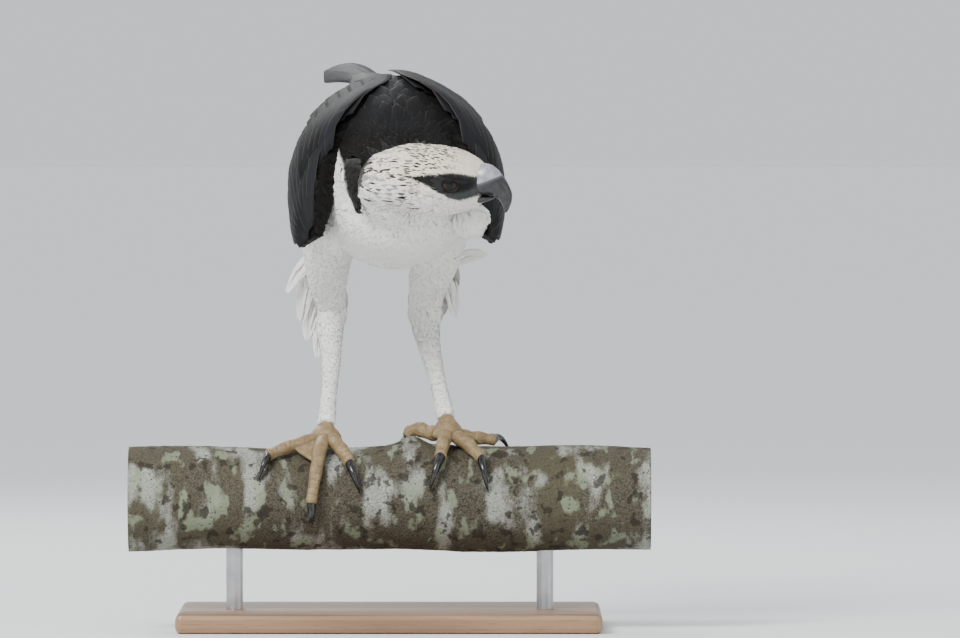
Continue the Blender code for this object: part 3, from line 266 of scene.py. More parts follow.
def oval(middle, across, upward, half_width, rise, drop, count=32, squareness=2.0):
    """A ring of points round a middle."""
    angle = 2 * np.pi * (np.arange(count) + 0.5) / count
    c, s = np.cos(angle), np.sin(angle)
    x = np.sign(c) * abs(c) ** (2 / squareness) * half_width
    z = np.sign(s) * abs(s) ** (2 / squareness) * np.where(s > 0, rise, drop)
    return middle + x[:, None] * np.asarray(across) + z[:, None] * np.asarray(upward)


def loft(rings):
    """Bridges ring after ring, and closes both ends."""
    shape, loops = bmesh.new(), []
    for ring in rings:
        verts = [shape.verts.new(p * MM) for p in ring]
        loops.append([shape.edges.new((verts[i - 1], verts[i])) for i in range(len(verts))])
    for before, after in zip(loops, loops[1:]):
        bmesh.ops.bridge_loops(shape, edges=before + after)
    for end in (loops[0], loops[-1]):
        bmesh.ops.contextual_create(shape, geom=end)
    bmesh.ops.recalc_face_normals(shape, faces=shape.faces)
    return shape


def tube(middles, half_widths, half_depths, across=(1, 0, 0), count=32):
    """A loft of ovals along a path, each square to it."""
    rings = []
    for i, middle in enumerate(middles):
        way = unit(middles[min(i + 1, len(middles) - 1)] - middles[max(i - 1, 0)])
        side = unit(np.asarray(across, float) - np.dot(across, way) * way)
        rings.append(oval(middle, side, np.cross(side, way), half_widths[i], half_depths[i], half_depths[i],
                          count))
    return loft(rings)


def ball(place, axes, sizes, segments=32, rings=20):
    """An ellipsoid: a sphere stretched along its own axes."""
    shape = bmesh.new()
    bmesh.ops.create_uvsphere(shape, u_segments=segments, v_segments=rings, radius=1.0)
    for vert in shape.verts:
        vert.co = Vector((place + sum(vert.co[i] * sizes[i] * np.asarray(axes[i]) for i in range(3))) * MM)
    bmesh.ops.recalc_face_normals(shape, faces=shape.faces)
    return shape


print("forms to build with: oval, loft, tube, ball")

# %% [markdown]
# ## From many forms to one
#
# A Boolean union would keep a seam wherever two lofts meet. A voxel remesh wraps them all in one even net
# instead, and smoothing rounds the seams off, which is what skin does.

# %% Fusing
def settle(piece):
    """Gives a piece, for good, the mesh that its modifiers make."""
    mesh = bpy.data.meshes.new_from_object(piece.evaluated_get(bpy.context.evaluated_depsgraph_get()))
    piece.modifiers.clear()
    piece.data = mesh
    return mesh


def fuse(name, shapes, voxel, rounds, factor=0.5):
    """Drops closed shapes into one mesh, remeshes them into one surface and relaxes it."""
    together = bmesh.new()
    for shape in shapes:
        mesh = bpy.data.meshes.new("part")
        shape.to_mesh(mesh)
        together.from_mesh(mesh)
        bpy.data.meshes.remove(mesh)
    made = finished(name, together)
    step = made.modifiers.new("fuse", "REMESH")
    step.mode, step.voxel_size = "VOXEL", voxel * MM
    mesh = settle(made)
    relaxed = bmesh.new()
    relaxed.from_mesh(mesh)
    for _ in range(rounds):
        bmesh.ops.smooth_vert(relaxed, verts=relaxed.verts, factor=factor, use_axis_x=True, use_axis_y=True,
                              use_axis_z=True)
    relaxed.to_mesh(mesh)
    relaxed.free()
    mesh.shade_smooth()
    return made


print("ready to fuse")

# %% [markdown]
# ## Body, head, neck and legs
#
# Torso and head are stacks of ovals read from their tables, neck and legs are tubes along a bent line. All
# shrink by an inset, the depth of the plumage there, so the feather tips end where the solids do.

# %% Torso, head, neck and legs
COAT = {"rump": 3.0, "head": 3.0, "neck": 5.0, "torso": 6.5, "lobe": 5.0, "lock": 1.2, "leg": 5.2,
        "shin": 2.6}
BODY_SIDE = unit(from_body(1, 0, 0) - from_body(0, 0, 0))
TORSO_LENGTH = 252


def torso_skin(inset):
    rings = []
    for share in np.linspace(0, 1, 26):
        along = TORSO[0, 0] + inset * 0.7 + (TORSO_LENGTH - inset * 0.7) * (0.45 * share**2 + 0.55 * share)
        middle, width, rise, drop = (float(smooth(TORSO[:, 0], TORSO[:, k], along)) for k in (1, 2, 3, 4))
        rise += float(np.interp(along, *zip(*MANTLE_RISE)))
        ring = [max(size - inset, 3.0) for size in (width, rise, drop)]
        rings.append(oval(from_body(0, along, middle), BODY_SIDE, (0, 0, 1), *ring, 48))
    return loft(rings)


def head_skin(inset):
    rings = []
    for along in np.linspace(HEAD[0, 0] + inset * 0.6, HEAD[-1, 0] - inset * 0.3, 26):
        rise, drop, width = (float(smooth(HEAD[:, 0], HEAD[:, k], along)) for k in (1, 2, 3))
        middle = (rise + drop) / 2
        half = (rise - drop) / 2 - inset
        rings.append(oval(from_head(along, 0, middle), HEAD_RIGHT, HEAD_UP, width - inset, half, half, 48))
    return loft(rings)


def neck_skin(inset):
    ends = [from_head(-12, 0, -2), from_head(-38, 0, -5), from_body(-3, -88, 178), from_body(0, -62, 176),
            from_body(0, -36, 180)]
    shares, steps = (0, 0.3, 0.6, 0.8, 1), np.linspace(0, 1, 16)
    widths, depths = smooth(shares, (25, 27, 29, 34, 38), steps), smooth(shares, (22, 25, 28, 32, 36), steps)
    return tube(smooth_points(shares, ends, steps), widths - inset, depths - inset, HEAD_RIGHT)


def leg_skin(side, start, end, inset):
    steps = np.linspace(start, end, 24)
    return tube(leg_point(side, steps), leg_size(LEG_HALF_WIDTHS, steps) - inset,
                leg_size(LEG_HALF_DEPTHS, steps) - inset)


print("coat depths:", COAT)

# %% [markdown]
# ## Neck locks and rump
#
# Down each side of the neck runs a lock of dark feathers, and the body narrows into a rump that carries the
# tail. Plumage needs something to lie on, so a flat tube makes each lock and five ovals the rump.

# %% Locks and rump
TAIL_BASE, TAIL_PITCH = np.array([0.0, 158.0, 211.0]), math.tan(math.radians(2.0))
RUMP = ((-8, 23, 16.5, 19), (8, 20, 12.5, 15.5), (26, 16, 7.5, 11), (44, 12, 3.8, 7), (58, 8.5, 2.0, 4.5))


def torso_point(along, turn, off=0.0):
    """Places off the torso's surface, turn being the angle from its top towards the bird's left."""
    along, turn, off = np.broadcast_arrays(*(np.asarray(v, float) for v in (along, turn, off)))
    middle, width, rise, drop = (smooth(TORSO[:, 0], TORSO[:, k], along) for k in (1, 2, 3, 4))
    tall = np.where(np.cos(turn) > 0, rise, drop)
    normal = unit(np.stack([np.sin(turn) / width, np.cos(turn) / tall], axis=-1))
    side = width * np.sin(turn) + normal[..., 0] * off
    return from_body(side, along, middle + tall * np.cos(turn) + normal[..., 1] * off)


LOCK_TIP, LOCK_WIDTH = (28, -102, 163), 20.0


def lock_path(sign, steps):
    """The dark feathers down the side of the neck, as the line that they follow."""
    root, tip = torso_point(-72, sign * math.radians(42), -1.0), from_body(sign * LOCK_TIP[0], *LOCK_TIP[1:])
    s = np.asarray(steps)[:, None]
    return root * (1 - s) + tip * s + np.array([sign * 3.0, -5.0, 5.0]) * 4 * s * (1 - s)


def lock_skin(sign, inset):
    steps = np.linspace(0.02, 0.97, 10)
    widths = LOCK_WIDTH / 2 * np.interp(steps, (0, 0.25, 0.5, 0.75, 1), (0.75, 1, 0.86, 0.55, 0.12))
    return tube(lock_path(sign, steps), np.maximum(widths - inset, 0.9), np.full(10, 1.6),
                (sign * 0.9, 0.4, 0.0), 16)


def rump_skin(inset):
    """The root of the tail, which the tail's own feathers cover."""
    rings = []
    for along, *sizes in RUMP:
        place = from_body(0, TAIL_BASE[1] + along - 6, TAIL_BASE[2] + 1.0)
        rings.append(oval(place, BODY_SIDE, (0, 0, 1), *(max(size - inset, 1.5) for size in sizes), 40))
    return loft(rings)


print("lock from", np.round(lock_path(-1, (0.0,))[0]), "to", np.round(lock_path(-1, (1.0,))[0]))

# %% [markdown]
# ## The skin itself
#
# Every part is built once, and all are fused. Two small forms join in: a lobe of breast feathers beside the
# neck, and the bony brow over each eye, which gives a hawk-eagle its stern look. Stretched balls will do,
# since none of their edges shows.

# %% Fusing the skin
LOBE, LOBE_SIZES = (49.0, -76.0, 159.5), np.array([20.0, 23.0, 17.0])
parts = {
    "head": head_skin(COAT["head"]),
    "neck": neck_skin(COAT["neck"]),
    "torso": torso_skin(COAT["torso"]),
    "rump": rump_skin(COAT["rump"]),
    "lobe": ball(from_body(*LOBE), np.eye(3), LOBE_SIZES - COAT["lobe"]),
    "lock_right": lock_skin(-1, COAT["lock"]),
    "lock_left": lock_skin(1, COAT["lock"]),
}
for side in ("right", "left"):
    parts["leg_" + side] = leg_skin(side, 0.0, 0.56, COAT["leg"])
    parts["shin_" + side] = leg_skin(side, 0.44, 0.995, COAT["shin"])
for side in (1, -1):
    brow_way = unit(HEAD_FORWARD - 0.36 * side * HEAD_RIGHT - 0.18 * HEAD_UP)
    parts["brow_" + str(side)] = ball(from_head(EYE_ALONG + 0.5, side * 20.2, EYE_RISE + 6.3),
                                      (brow_way, HEAD_RIGHT, HEAD_UP), (15.0, 6.6, 2.5))
skin = fuse("skin", parts.values(), 1.7, 6)
print("skin faces:", len(skin.data.polygons))

# %% [markdown]
# ## Where each feather grows
#
# Every point of the skin belongs to a part of the body, and near a joint to two of them. The distance to
# each part's own loft tells how much. From the parts follow the lie of the feathers, their length, their
# width, how far they stand off the skin, and their colour. So the coat changes smoothly from one part to
# the next, as on the live bird.

# %% What belongs to what
def tree_of(shape):
    tree = BVHTree.FromBMesh(shape)
    shape.free()
    return tree


part_trees = {name: tree_of(shape) for name, shape in parts.items()}
LEG_STEPS = np.linspace(0, 1, 80)
leg_lines = {side: leg_point(side, LEG_STEPS) for side in ("right", "left")}


def shares_of(points):
    """How much of each part there is at every point of the skin."""
    near = {}
    for name, tree in part_trees.items():
        far = np.array([tree.find_nearest(p)[3] for p in (points * MM).tolist()]) / MM
        near[name] = np.exp(-((far / 5.0) ** 2)) + 1e-9
    total = sum(near.values())
    return {name: weight / total for name, weight in near.items()}


def leg_share(side, points):
    """The place down the leg, from 0 at the hip to 1 at the foot, and the way down it."""
    line = leg_lines[side]
    nearest = np.array([np.argmin(((line - p) ** 2).sum(axis=1)) for p in points])
    ways = unit(np.gradient(line, axis=0))
    return LEG_STEPS[nearest], ways[nearest]


def lie_of(points, shares):
    """The way that the feathers point."""
    breast, nape = from_body(0, -112, 196), from_head(-8, 0, 4)
    away = unit(points - breast)
    ways = {
        "head": unit(points - from_head(44, 0, -6)) * 0.7 - HEAD_FORWARD * 0.6,
        "neck": unit(points - nape) - HEAD_FORWARD * 0.4,
        "torso": away + np.array([0, 0.55, 0]),
        "rump": np.tile((0.0, 1.0, 0.0), (len(points), 1)),
        "lobe": away + np.array([0, 0.1, -0.8]),
    }
    for sign, side in ((-1, "right"), (1, "left")):
        ends = lock_path(sign, (0.0, 1.0))
        ways["lock_" + side] = np.tile(unit(ends[1] - ends[0]), (len(points), 1))
        down = leg_share(side, points)[1]
        ways["leg_" + side] = down + np.array([0, 0.25, -0.35])
        ways["shin_" + side] = down
    return unit(sum(shares[name][:, None] * unit(way) for name, way in ways.items() if name in shares))


print("parts of the skin:", ", ".join(part_trees))


# %% [markdown]
# ## The markings
#
# The bird is dark brown-black above and white below. On the top of the back and wings the dark is painted
# a paler slate, which is painted sky light. Its head is creamy, finely streaked on crown and nape, with a
# dark mask through the eye that reaches the bill. Round the eye the mask is painted darker as shade under
# the brow, and its straight upper edge is the brow's painted shadow line. The mask is drawn once, as an
# outline on the side of the head, and holds for both sides. It could be painted on a picture, but an outline
# stays sharp at any size.

# %% Tools for drawing marks
WHITE, CREAM, UMBER = (0.82, 0.81, 0.77), (0.78, 0.72, 0.59), (0.0042, 0.0036, 0.0031)
# The mask's core tone is darkened by painted shade from the brow
# The slate tone is painted sky light on the top of the dark plumage
SKY_LIT_SLATE, MASK_CORE_SHADED, STREAK = (0.0115, 0.0125, 0.0150), (0.0055, 0.0052, 0.0052), (0.020, 0.013, 0.009)
PHOTO_SCALE, PHOTO_X, PHOTO_Y = 0.71, 390.0, 516.0
# The outline's straight upper edge is a painted shadow line under the brow
MASK_AND_BROW_SHADOW_OUTLINE = np.array([  # the mask's outline as seen from the bird's right
    (409, 248.5), (418, 247), (428, 246), (440, 244.5), (452, 244), (462, 245), (472, 247), (490, 248.5),
    (492, 258), (489, 266), (480, 266), (470, 269), (460, 271.5), (450, 269.5), (443, 265.5), (435, 261.5),
    (424, 255),
], float)


def seen_from_right(along, side, rise):
    """Where a point of the head, or its twin on the other side, shows in a view of the bird's right side."""
    place = from_head(along, np.abs(side), rise) - FEET
    return PHOTO_X + place[:, 0] / PHOTO_SCALE, PHOTO_Y - place[:, 2] / PHOTO_SCALE


def inside(outline, x, y):
    """How far each point lies inside an outline, in its own units; outside it is below zero."""
    within, nearest = np.zeros(len(x), bool), np.full(len(x), 1e9)
    for (x0, y0), (x1, y1) in zip(outline, np.roll(outline, -1, axis=0)):
        crosses = (y0 > y) != (y1 > y)
        within ^= crosses & (x < (x1 - x0) * (y - y0) / (y1 - y0 + 1e-12) + x0)
        t = np.clip(((x - x0) * (x1 - x0) + (y - y0) * (y1 - y0)) / ((x1 - x0) ** 2 + (y1 - y0) ** 2), 0, 1)
        nearest = np.minimum(nearest, np.hypot(x - x0 - t * (x1 - x0), y - y0 - t * (y1 - y0)))
    return np.where(within, nearest, -nearest)


def step_between(low, high, x):
    t = np.clip((x - low) / (high - low), 0, 1)
    return t * t * (3 - 2 * t)


def mix(a, b, share):
    return np.asarray(a) * (1 - share[:, None]) + np.asarray(b) * share[:, None]


def wobble(points, size, seed=0.0):
    """Soft noise about zero, with patches of the given size in millimetres."""
    return np.array([noise.noise(Vector(p) / size + Vector((seed, seed, seed))) for p in points.tolist()])


print("mask outline:", len(MASK_AND_BROW_SHADOW_OUTLINE), "corners")

# %% [markdown]
# ## Black and white beside the neck
#
# Under the front edge of each wing a white patch runs up, and inside it a dark band runs down to a point.
# Short tables of height and distance give their edges, and noise roughens them.

# %% Patch and band
PATCH_EDGE = ((140, 14), (162, 22), (180, 29.5), (199, 32.5), (214, 37.5),
              (222, 42))  # height over the perch, place
BAND_INNER = ((160, 24), (175, 22), (192, 18), (204, 13), (216, 4), (224, -9))
PATCH_OUT = ((140, 66), (190, 62), (206, 56), (216, 48), (223, 43))


def beside_neck(points):
    """Shares of the white patch under the wing's edge and of the dark band inside it."""
    along = to_body(points)[1]
    off, height, uneven = np.abs(points[:, 0]), points[:, 2] - FEET[2], 0.9 * wobble(points, 6, 11)
    over = off - np.interp(height, *zip(*PATCH_EDGE)) + uneven
    front = step_between(-38, -48, along)
    behind_head = step_between(-34, -40, to_head(points)[0])
    band = step_between(1.2, -1.2, over) * step_between(158, 164, height) * behind_head
    patch = step_between(-1.2, 1.2, over)
    band *= step_between(-0.8, 0.8, off - np.interp(height, *zip(*BAND_INNER)) + uneven)
    top = np.where(points[:, 0] < 0, 222, 198)
    patch = np.maximum(patch * step_between(top, top - 5, height), step_between(163, 157, height))
    patch *= step_between(1.5, -1.5, off - np.interp(height, *zip(*PATCH_OUT)))
    return patch * front, band * step_between(228, 218, height) * front


print("patch and band ready")

# %% [markdown]
# ## The colour of any place
#
# How dark a place is follows from its part of the body and its height there. Skin and feathers ask the same
# functions, so their colours can't drift apart.

# %% Colours by place
def darkness(points, shares):
    """1 on the dark back and neck sides, 0 on the white underside."""
    side, along, height = to_body(points)
    middle = smooth(TORSO[:, 0], TORSO[:, 1], along)
    wide, tall = (smooth(TORSO[:, 0], TORSO[:, k], along) for k in (2, 3))
    turn = np.degrees(np.arctan2(np.abs(side) / wide, (height - middle) / tall))
    back = step_between(4, -4, turn - smooth(MANTLE[:, 0], MANTLE[:, 1], along) + 5 * wobble(points, 14))
    ahead, _, rise = to_head(points)
    neck_dark = step_between(-8, 4, rise + 8 + 0.25 * (ahead + 40)) * step_between(-34, -44, ahead)
    lock = shares["lock_right"] + shares["lock_left"]
    behind = step_between(-36, -50, ahead)
    rump = step_between(-4, 4, height - TAIL_BASE[2])
    dark = shares["torso"] * back + shares["rump"] * rump + shares["neck"] * neck_dark + 1.6 * lock * behind
    dark = step_between(0.2, 0.6, dark)
    # Beside the neck a dark band runs down to a point, and outside it a white patch runs up under the wing
    patch, band = beside_neck(points)
    patch = patch * (1 - np.clip(1.6 * lock, 0, 1))
    dark = dark * (1 - patch) + band * (1 - dark) * (1 - shares["head"])
    return np.clip(dark, 0, 1)


def mask_at(points):
    """Share of the dark mask through the eye, and its tone, which is paler between eye and bill.

    Round the eye the tone is darker: painted shade from the brow.
    """
    x, y = seen_from_right(*to_head(points))
    ragged = 0.5 * np.sin(2.1 * x + 1.3 * y) + 0.4 * np.sin(3.7 * y - 1.1 * x)
    # Inside an almond round the eye the mask stays darkest, as painted shade from the brow; outside it is
    # paler
    lores = step_between(0.7, 1.5, ((x - 449) / 27) ** 2 + ((y - 254) / 9.5) ** 2) * step_between(428, 446, x)
    share = step_between(-0.8, 0.9, inside(MASK_AND_BROW_SHADOW_OUTLINE, x, y) + ragged)
    return share, mix(MASK_CORE_SHADED, (0.045, 0.050, 0.048), lores)


def head_share(shares):
    return shares["head"] + shares["brow_1"] + shares["brow_-1"]


def markings(points, shares):
    """Colour, strength of the dark streak and of the pale fringe, and darkness at these points."""
    ahead, _, rise = to_head(points)
    dark = darkness(points, shares)
    # Painted sky light: the higher it lies on the back, the more the dark plumage turns slate
    top = step_between(225, 245, to_body(points)[2])
    upper = mix(UMBER, SKY_LIT_SLATE, np.clip(0.35 + 0.65 * top + 0.25 * wobble(points, 30, 4), 0, 1))
    on_head = np.clip(head_share(shares), 0, 1)
    crown = step_between(-14, 6, rise + 0.12 * ahead + 3 * wobble(points, 9, 2))
    pale = mix(WHITE, CREAM, on_head * np.clip(0.25 + 0.75 * crown, 0, 1))
    colour = mix(pale, upper, dark)
    mask = mask_at(points)[0] * on_head
    side_nape = step_between(-30, -12, rise) * step_between(2, -12, ahead)
    streaks = on_head * np.maximum(crown, side_nape) * (1 - mask) * step_between(27, 12, ahead)
    return colour, np.clip(streaks, 0, 1) * (1 - dark), dark * 0.4, dark


print("colours ready")

# %% [markdown]
# ## Growing the coat
#
# Hair particles or instances would be the quick way, but an exported model drops them, so each feather here
# is real mesh. First come their sizes, which differ from part to part: short and fine on the face, long and
# loose on the belly, broad and firm on the back.

# %% Sizes of the feathers
FEATHER = {  # length, half width and spacing of the roots, in millimetres
    "head": (6.8, 1.25, 1.5), "neck": (14.0, 2.5, 2.7), "torso": (19.0, 3.3, 3.5), "lobe": (14.0, 2.6, 2.7),
    "rump": (20.0, 4.0, 4.0), "lock": (16.0, 2.6, 2.7), "leg": (13.0, 2.1, 2.2), "shin": (9.0, 1.5, 1.6),
    "brow": (4.6, 1.0, 1.4),
}
BACK, SMALL = (34.0, 9.4, 7.4, 7.6), (13.0, 2.5, 2.6,
                                      2.0)  # the same and the lift, on the back and by the neck
LIFT = 0.55  # how far the tips stand off, as a share of the coat's depth


def sizes_of(points, shares, dark):
    """Length, half width and spacing of the feathers, and how far their tips stand off the skin."""
    table = {name: np.array(FEATHER[name.split("_")[0]] + (COAT.get(name.split("_")[0], 2.6),))
             for name in shares}
    sizes = sum(shares[name][:, None] * table[name] for name in shares)
    back = (dark * shares["torso"])[:, None]
    legs = sum(shares[part + side] for part in ("leg_", "shin_") for side in ("right", "left"))
    sizes[:, 3] *= LIFT * (1 - 0.5 * legs - 0.35 * (shares["lobe"] + shares["neck"]))
    sizes = sizes * (1 - back) + np.array(BACK) * back
    _, along, height = to_body(points)
    low_front = step_between(-48, -60, along) * step_between(232, 214, height) * shares["torso"]
    small = np.maximum(np.add(*beside_neck(points)), low_front)[:, None].clip(0, 1)
    sizes = sizes * (1 - small) + np.array(SMALL) * small
    ahead, on_head = to_head(points)[0], head_share(shares)[:, None]
    face = step_between(4, 26, ahead)
    nape = step_between(-8, -34, ahead)
    growth = (1 - 0.52 * face + 0.75 * nape)[:, None]
    fine = np.concatenate([np.repeat(growth, 3, axis=1), (1 - 0.45 * face + 0.35 * nape)[:, None]], axis=1)
    return sizes * (1 + on_head * (fine - 1))


print("feather sizes for", len(FEATHER), "parts")

# %% [markdown]
# ## An even spread of roots
#
# A random throw clumps and a grid shows its rows, but real feathers stand evenly. So more roots than needed
# are thrown, and each is kept only if no kept one is too near. A table of small cells keeps the search
# short.

# %% Roots
def throw_on(mesh, how_many, chance_of):
    """Random places on a mesh and the faces that they lie on; chance_of gives the chance at each triangle."""
    mesh.calc_loop_triangles()
    tris = np.array([t.vertices[:] for t in mesh.loop_triangles])
    corners = np.array([v.co[:] for v in mesh.vertices])[tris] / MM
    areas = np.linalg.norm(np.cross(corners[:, 1] - corners[:, 0], corners[:, 2] - corners[:, 0]), axis=1) / 2
    chance = areas * chance_of(corners.mean(axis=1))
    chosen = rng.choice(len(tris), size=how_many, p=chance / chance.sum())
    a, b = rng.random(how_many), rng.random(how_many)
    flip = a + b > 1
    a, b = np.where(flip, 1 - a, a), np.where(flip, 1 - b, b)
    c = corners[chosen]
    places = c[:, 0] + a[:, None] * (c[:, 1] - c[:, 0]) + b[:, None] * (c[:, 2] - c[:, 0])
    return places, np.array([t.polygon_index for t in mesh.loop_triangles])[chosen]


def thick_where_small(middles):
    """More roots where the feathers are small."""
    shares = shares_of(middles)
    return 1 / sizes_of(middles, shares, darkness(middles, shares))[:, 2] ** 2


def thin_out(points, spacing):
    """Keeps a point if no kept one lies within its spacing."""
    cell, kept, home = 2.0, [], {}
    for i, (p, gap) in enumerate(zip(points.tolist(), spacing.tolist())):
        key, reach = tuple(int(c // cell) for c in p), math.ceil(gap / cell)
        cells = itertools.product(*(range(k - reach, k + reach + 1) for k in key))
        if all(math.dist(p, q) >= gap for near in cells for q in home.get(near, ())):
            home.setdefault(key, []).append(p)
            kept.append(i)
    return np.array(kept)


ROOTS_THROWN = 110000
points, owners = throw_on(skin.data, ROOTS_THROWN, thick_where_small)
root_shares = shares_of(points)
root_sizes = sizes_of(points, root_shares, darkness(points, root_shares))
kept = thin_out(points, root_sizes[:, 2] * 0.82)
points, owners, root_sizes = points[kept], owners[kept], root_sizes[kept]
root_shares = {name: share[kept] for name, share in root_shares.items()}
# On the nape and beside the crown some narrow feathers are dark for their whole length
ahead, _, rise = to_head(points)
nape = root_shares["head"] * step_between(10, -14, ahead)
nape = nape * step_between(-26, -10, rise) * step_between(26, 12, rise)
crown = root_shares["head"] * step_between(-4, 6, rise) * (ahead < 12)
streaky = rng.random(len(points)) < 0.17 * nape + 0.03 * crown
root_sizes[streaky] *= (1.45, 0.42, 1, 1.12)
print("roots:", len(points), "of them dark streaks:", streaky.sum())

# %% [markdown]
# ## Feathers as curved blades
#
# A feather could be one flat strip, but it would stand off a round body like a card. Here the middle and
# the tip of each one are dropped back onto the skin and lifted by the depth of the coat, and a smooth line
# runs through root, middle and tip. The blade hangs on that line, a little arched across, with its end
# frayed by a few millimetres that differ from feather to feather.

# %% Blades on the skin
def spots_of(piece):
    """The places of a piece's vertices in millimetres."""
    return np.array([v.co[:] for v in piece.data.vertices]) / MM


def tree_over(piece):
    return BVHTree.FromPolygons([v.co / MM for v in piece.data.vertices],
                                [p.vertices[:] for p in piece.data.polygons])


skin_tree = tree_over(skin)


def on_skin(points, tree=skin_tree):
    found = [tree.find_nearest(p)[:2] for p in points.tolist()]
    return np.array([f[0][:] for f in found]), np.array([f[1][:] for f in found])


def blade_grid(rows, columns, close=1.0):
    """Faces and inner coordinates of one blade: v runs from root to tip, u from -1 to 1 across it.

    With close above 1 the rows stand closer together towards the tip, whose rounding needs them."""
    shape = bmesh.new()
    bmesh.ops.create_grid(shape, x_segments=columns - 1, y_segments=rows - 1, size=1.0)
    shape.verts.ensure_lookup_table()
    spots = [(round(vert.co.y, 4), round(vert.co.x, 4)) for vert in shape.verts]
    order = sorted(range(len(spots)), key=lambda i: spots[i])
    place = {old: new for new, old in enumerate(order)}
    faces = np.array([[place[v.index] for v in face.verts] for face in shape.faces])
    v = 1 - np.array([(1 - shape.verts[i].co.y) / 2 for i in order]) ** close
    u = np.array([shape.verts[i].co.x for i in order])
    shape.free()
    return faces, u, v


print("nearest skin to the origin:", np.round(on_skin(np.zeros((1, 3)))[0][0]), "mm")

# %% [markdown]
# ## Thousands of blades in one mesh
#
# One object for each feather would be far too slow. So all blades of a coat go into one mesh, written as
# arrays, with two maps and the attributes that the finish reads.

# %% Joining blades
def give_colour(mesh, title, values):
    """Stores a colour at each vertex."""
    layer = mesh.attributes.new(title, "FLOAT_COLOR", "POINT")
    filled = np.concatenate([values, np.ones(values.shape[:-1] + (1,))], axis=-1)
    layer.data.foreach_set("color", filled.astype(np.float32).ravel())


def joined_blades(name, places, faces, vane, patch, colour, marks, outward=None):
    """One mesh from the places of many like blades, with its two maps and its attributes."""
    count, size = places.shape[:2]
    all_faces = (faces[None] + (np.arange(count) * size)[:, None, None]).reshape(-1, faces.shape[1])
    mesh = bpy.data.meshes.new(name)
    mesh.vertices.add(count * size)
    mesh.vertices.foreach_set("co", (places * MM).astype(np.float32).ravel())
    corners = all_faces.ravel()
    mesh.loops.add(len(corners))
    mesh.loops.foreach_set("vertex_index", corners.astype(np.int32))
    mesh.polygons.add(len(all_faces))
    mesh.polygons.foreach_set("loop_start", (np.arange(len(all_faces)) * faces.shape[1]).astype(np.int32))
    mesh.update(calc_edges=True)
    for title, values in (("Vane", vane), ("OFBake", patch)):
        layer = mesh.uv_layers.new(name=title)
        layer.uv.foreach_set("vector", values.reshape(-1, 2)[corners].astype(np.float32).ravel())
    give_colour(mesh, "Coat", colour)
    give_colour(mesh, "Marks", marks)
    if outward is not None:
        layer = mesh.attributes.new("Outward", "FLOAT_VECTOR", "POINT")
        layer.data.foreach_set("vector", outward.astype(np.float32).ravel())
    mesh.shade_smooth()
    return placed(name, mesh)


print("blades can be joined")

# %% [markdown]
# ## Shaping and laying them
#
# A body feather is narrow at its root, full in its middle and round at its tip. Curves could be bevelled
# into that shape one by one. With so many, whole arrays are bent at once: a row for a feather, a column for
# a point of its blade.

# %% Laying feathers on the skin
def feather_width(v, round_share):
    """Half width along a blade as a share of its widest, round over the last share of its length."""
    grown = np.sin(np.pi * np.clip(v, 0, 1) ** 0.75 * 0.5) ** 0.7
    into_tip = np.clip((v - 1 + round_share) / round_share, 0, 1)
    return np.maximum(grown * np.sqrt(1 - into_tip**2), 0.04)


def vane_of(count, u, v):
    """The blade's own map, once for each of many feathers."""
    return np.broadcast_to(np.stack([u / 2 + 0.5, v], axis=-1), (count, len(u), 2))


def spread_over(places, *values):
    """What each feather has, repeated for all points of its blade."""
    return [np.broadcast_to(value[:, None], places.shape) for value in values]


def lay_feathers(name, roots, ways, sizes, colour, marks, patches, rows=6, columns=5, frayed=0.12, blunt=0.5,
                 arch=0.22,
                 tree=skin_tree):
    """Blades along the skin from their roots, pointing their ways; sizes are length, half width and lift."""
    count = len(roots)
    faces, u, v = blade_grid(rows, columns, 1.5)
    base, normals = on_skin(roots, tree)
    ways = unit(ways - (ways * normals).sum(axis=1, keepdims=True) * normals)
    length, half, lift = (sizes[:, k][:, None] for k in range(3))
    middle, middle_normals = on_skin(base + ways * length * 0.5, tree)
    onward = unit(middle - base)
    tip, tip_normals = on_skin(middle + onward * length * 0.5, tree)
    lines = [base + normals * lift * 0.12, middle + middle_normals * lift * 0.62, tip + tip_normals * lift]
    ragged = rng.random((count, columns)) * frayed
    reach = v[None, :] - (v[None, :] ** 3) * (0.16 * u[None, :] ** 2 + ragged[:, np.arange(len(u)) % columns])
    weights = [2 * (reach - 0.5) * (reach - 1), 4 * reach * (1 - reach), 2 * reach * (reach - 0.5)]
    spine = sum(w[..., None] * line[:, None, :] for w, line in zip(weights, lines))
    slopes = [4 * reach - 3, 4 - 8 * reach, 4 * reach - 1]
    along = unit(sum(w[..., None] * line[:, None, :] for w, line in zip(slopes, lines)))
    outward = unit(sum(w[..., None] * n[:, None, :]
                       for w, n in zip(weights, (normals, middle_normals, tip_normals))))
    across = unit(np.cross(along, outward))
    roll = (rng.random((count, 1, 1)) - 0.5) * 0.35
    across = unit(across + outward * roll)
    width = half * feather_width(v, blunt)[None, :]
    places = spine + across * (u[None, :] * width)[..., None]
    places = places - outward * (arch * u[None, :] ** 2 * width)[..., None]
    patch = patches[:, None, :] + np.stack([u * 0.0015, (v - 0.5) * 0.003], axis=-1)[None]
    colour, marks = spread_over(places, colour, marks)
    return joined_blades(name, places, faces, vane_of(count, u, v), patch, colour, marks, outward)


print("half width at mid length:", feather_width(0.5, 0.5).round(2), "of the widest")

# %% [markdown]
# ## Maps for the finishes
#
# A finish may later be baked into a picture, and then no two places may share a spot of the map. The skin
# is unfolded by its angles, and a feather takes a tiny patch of the map where it grows.

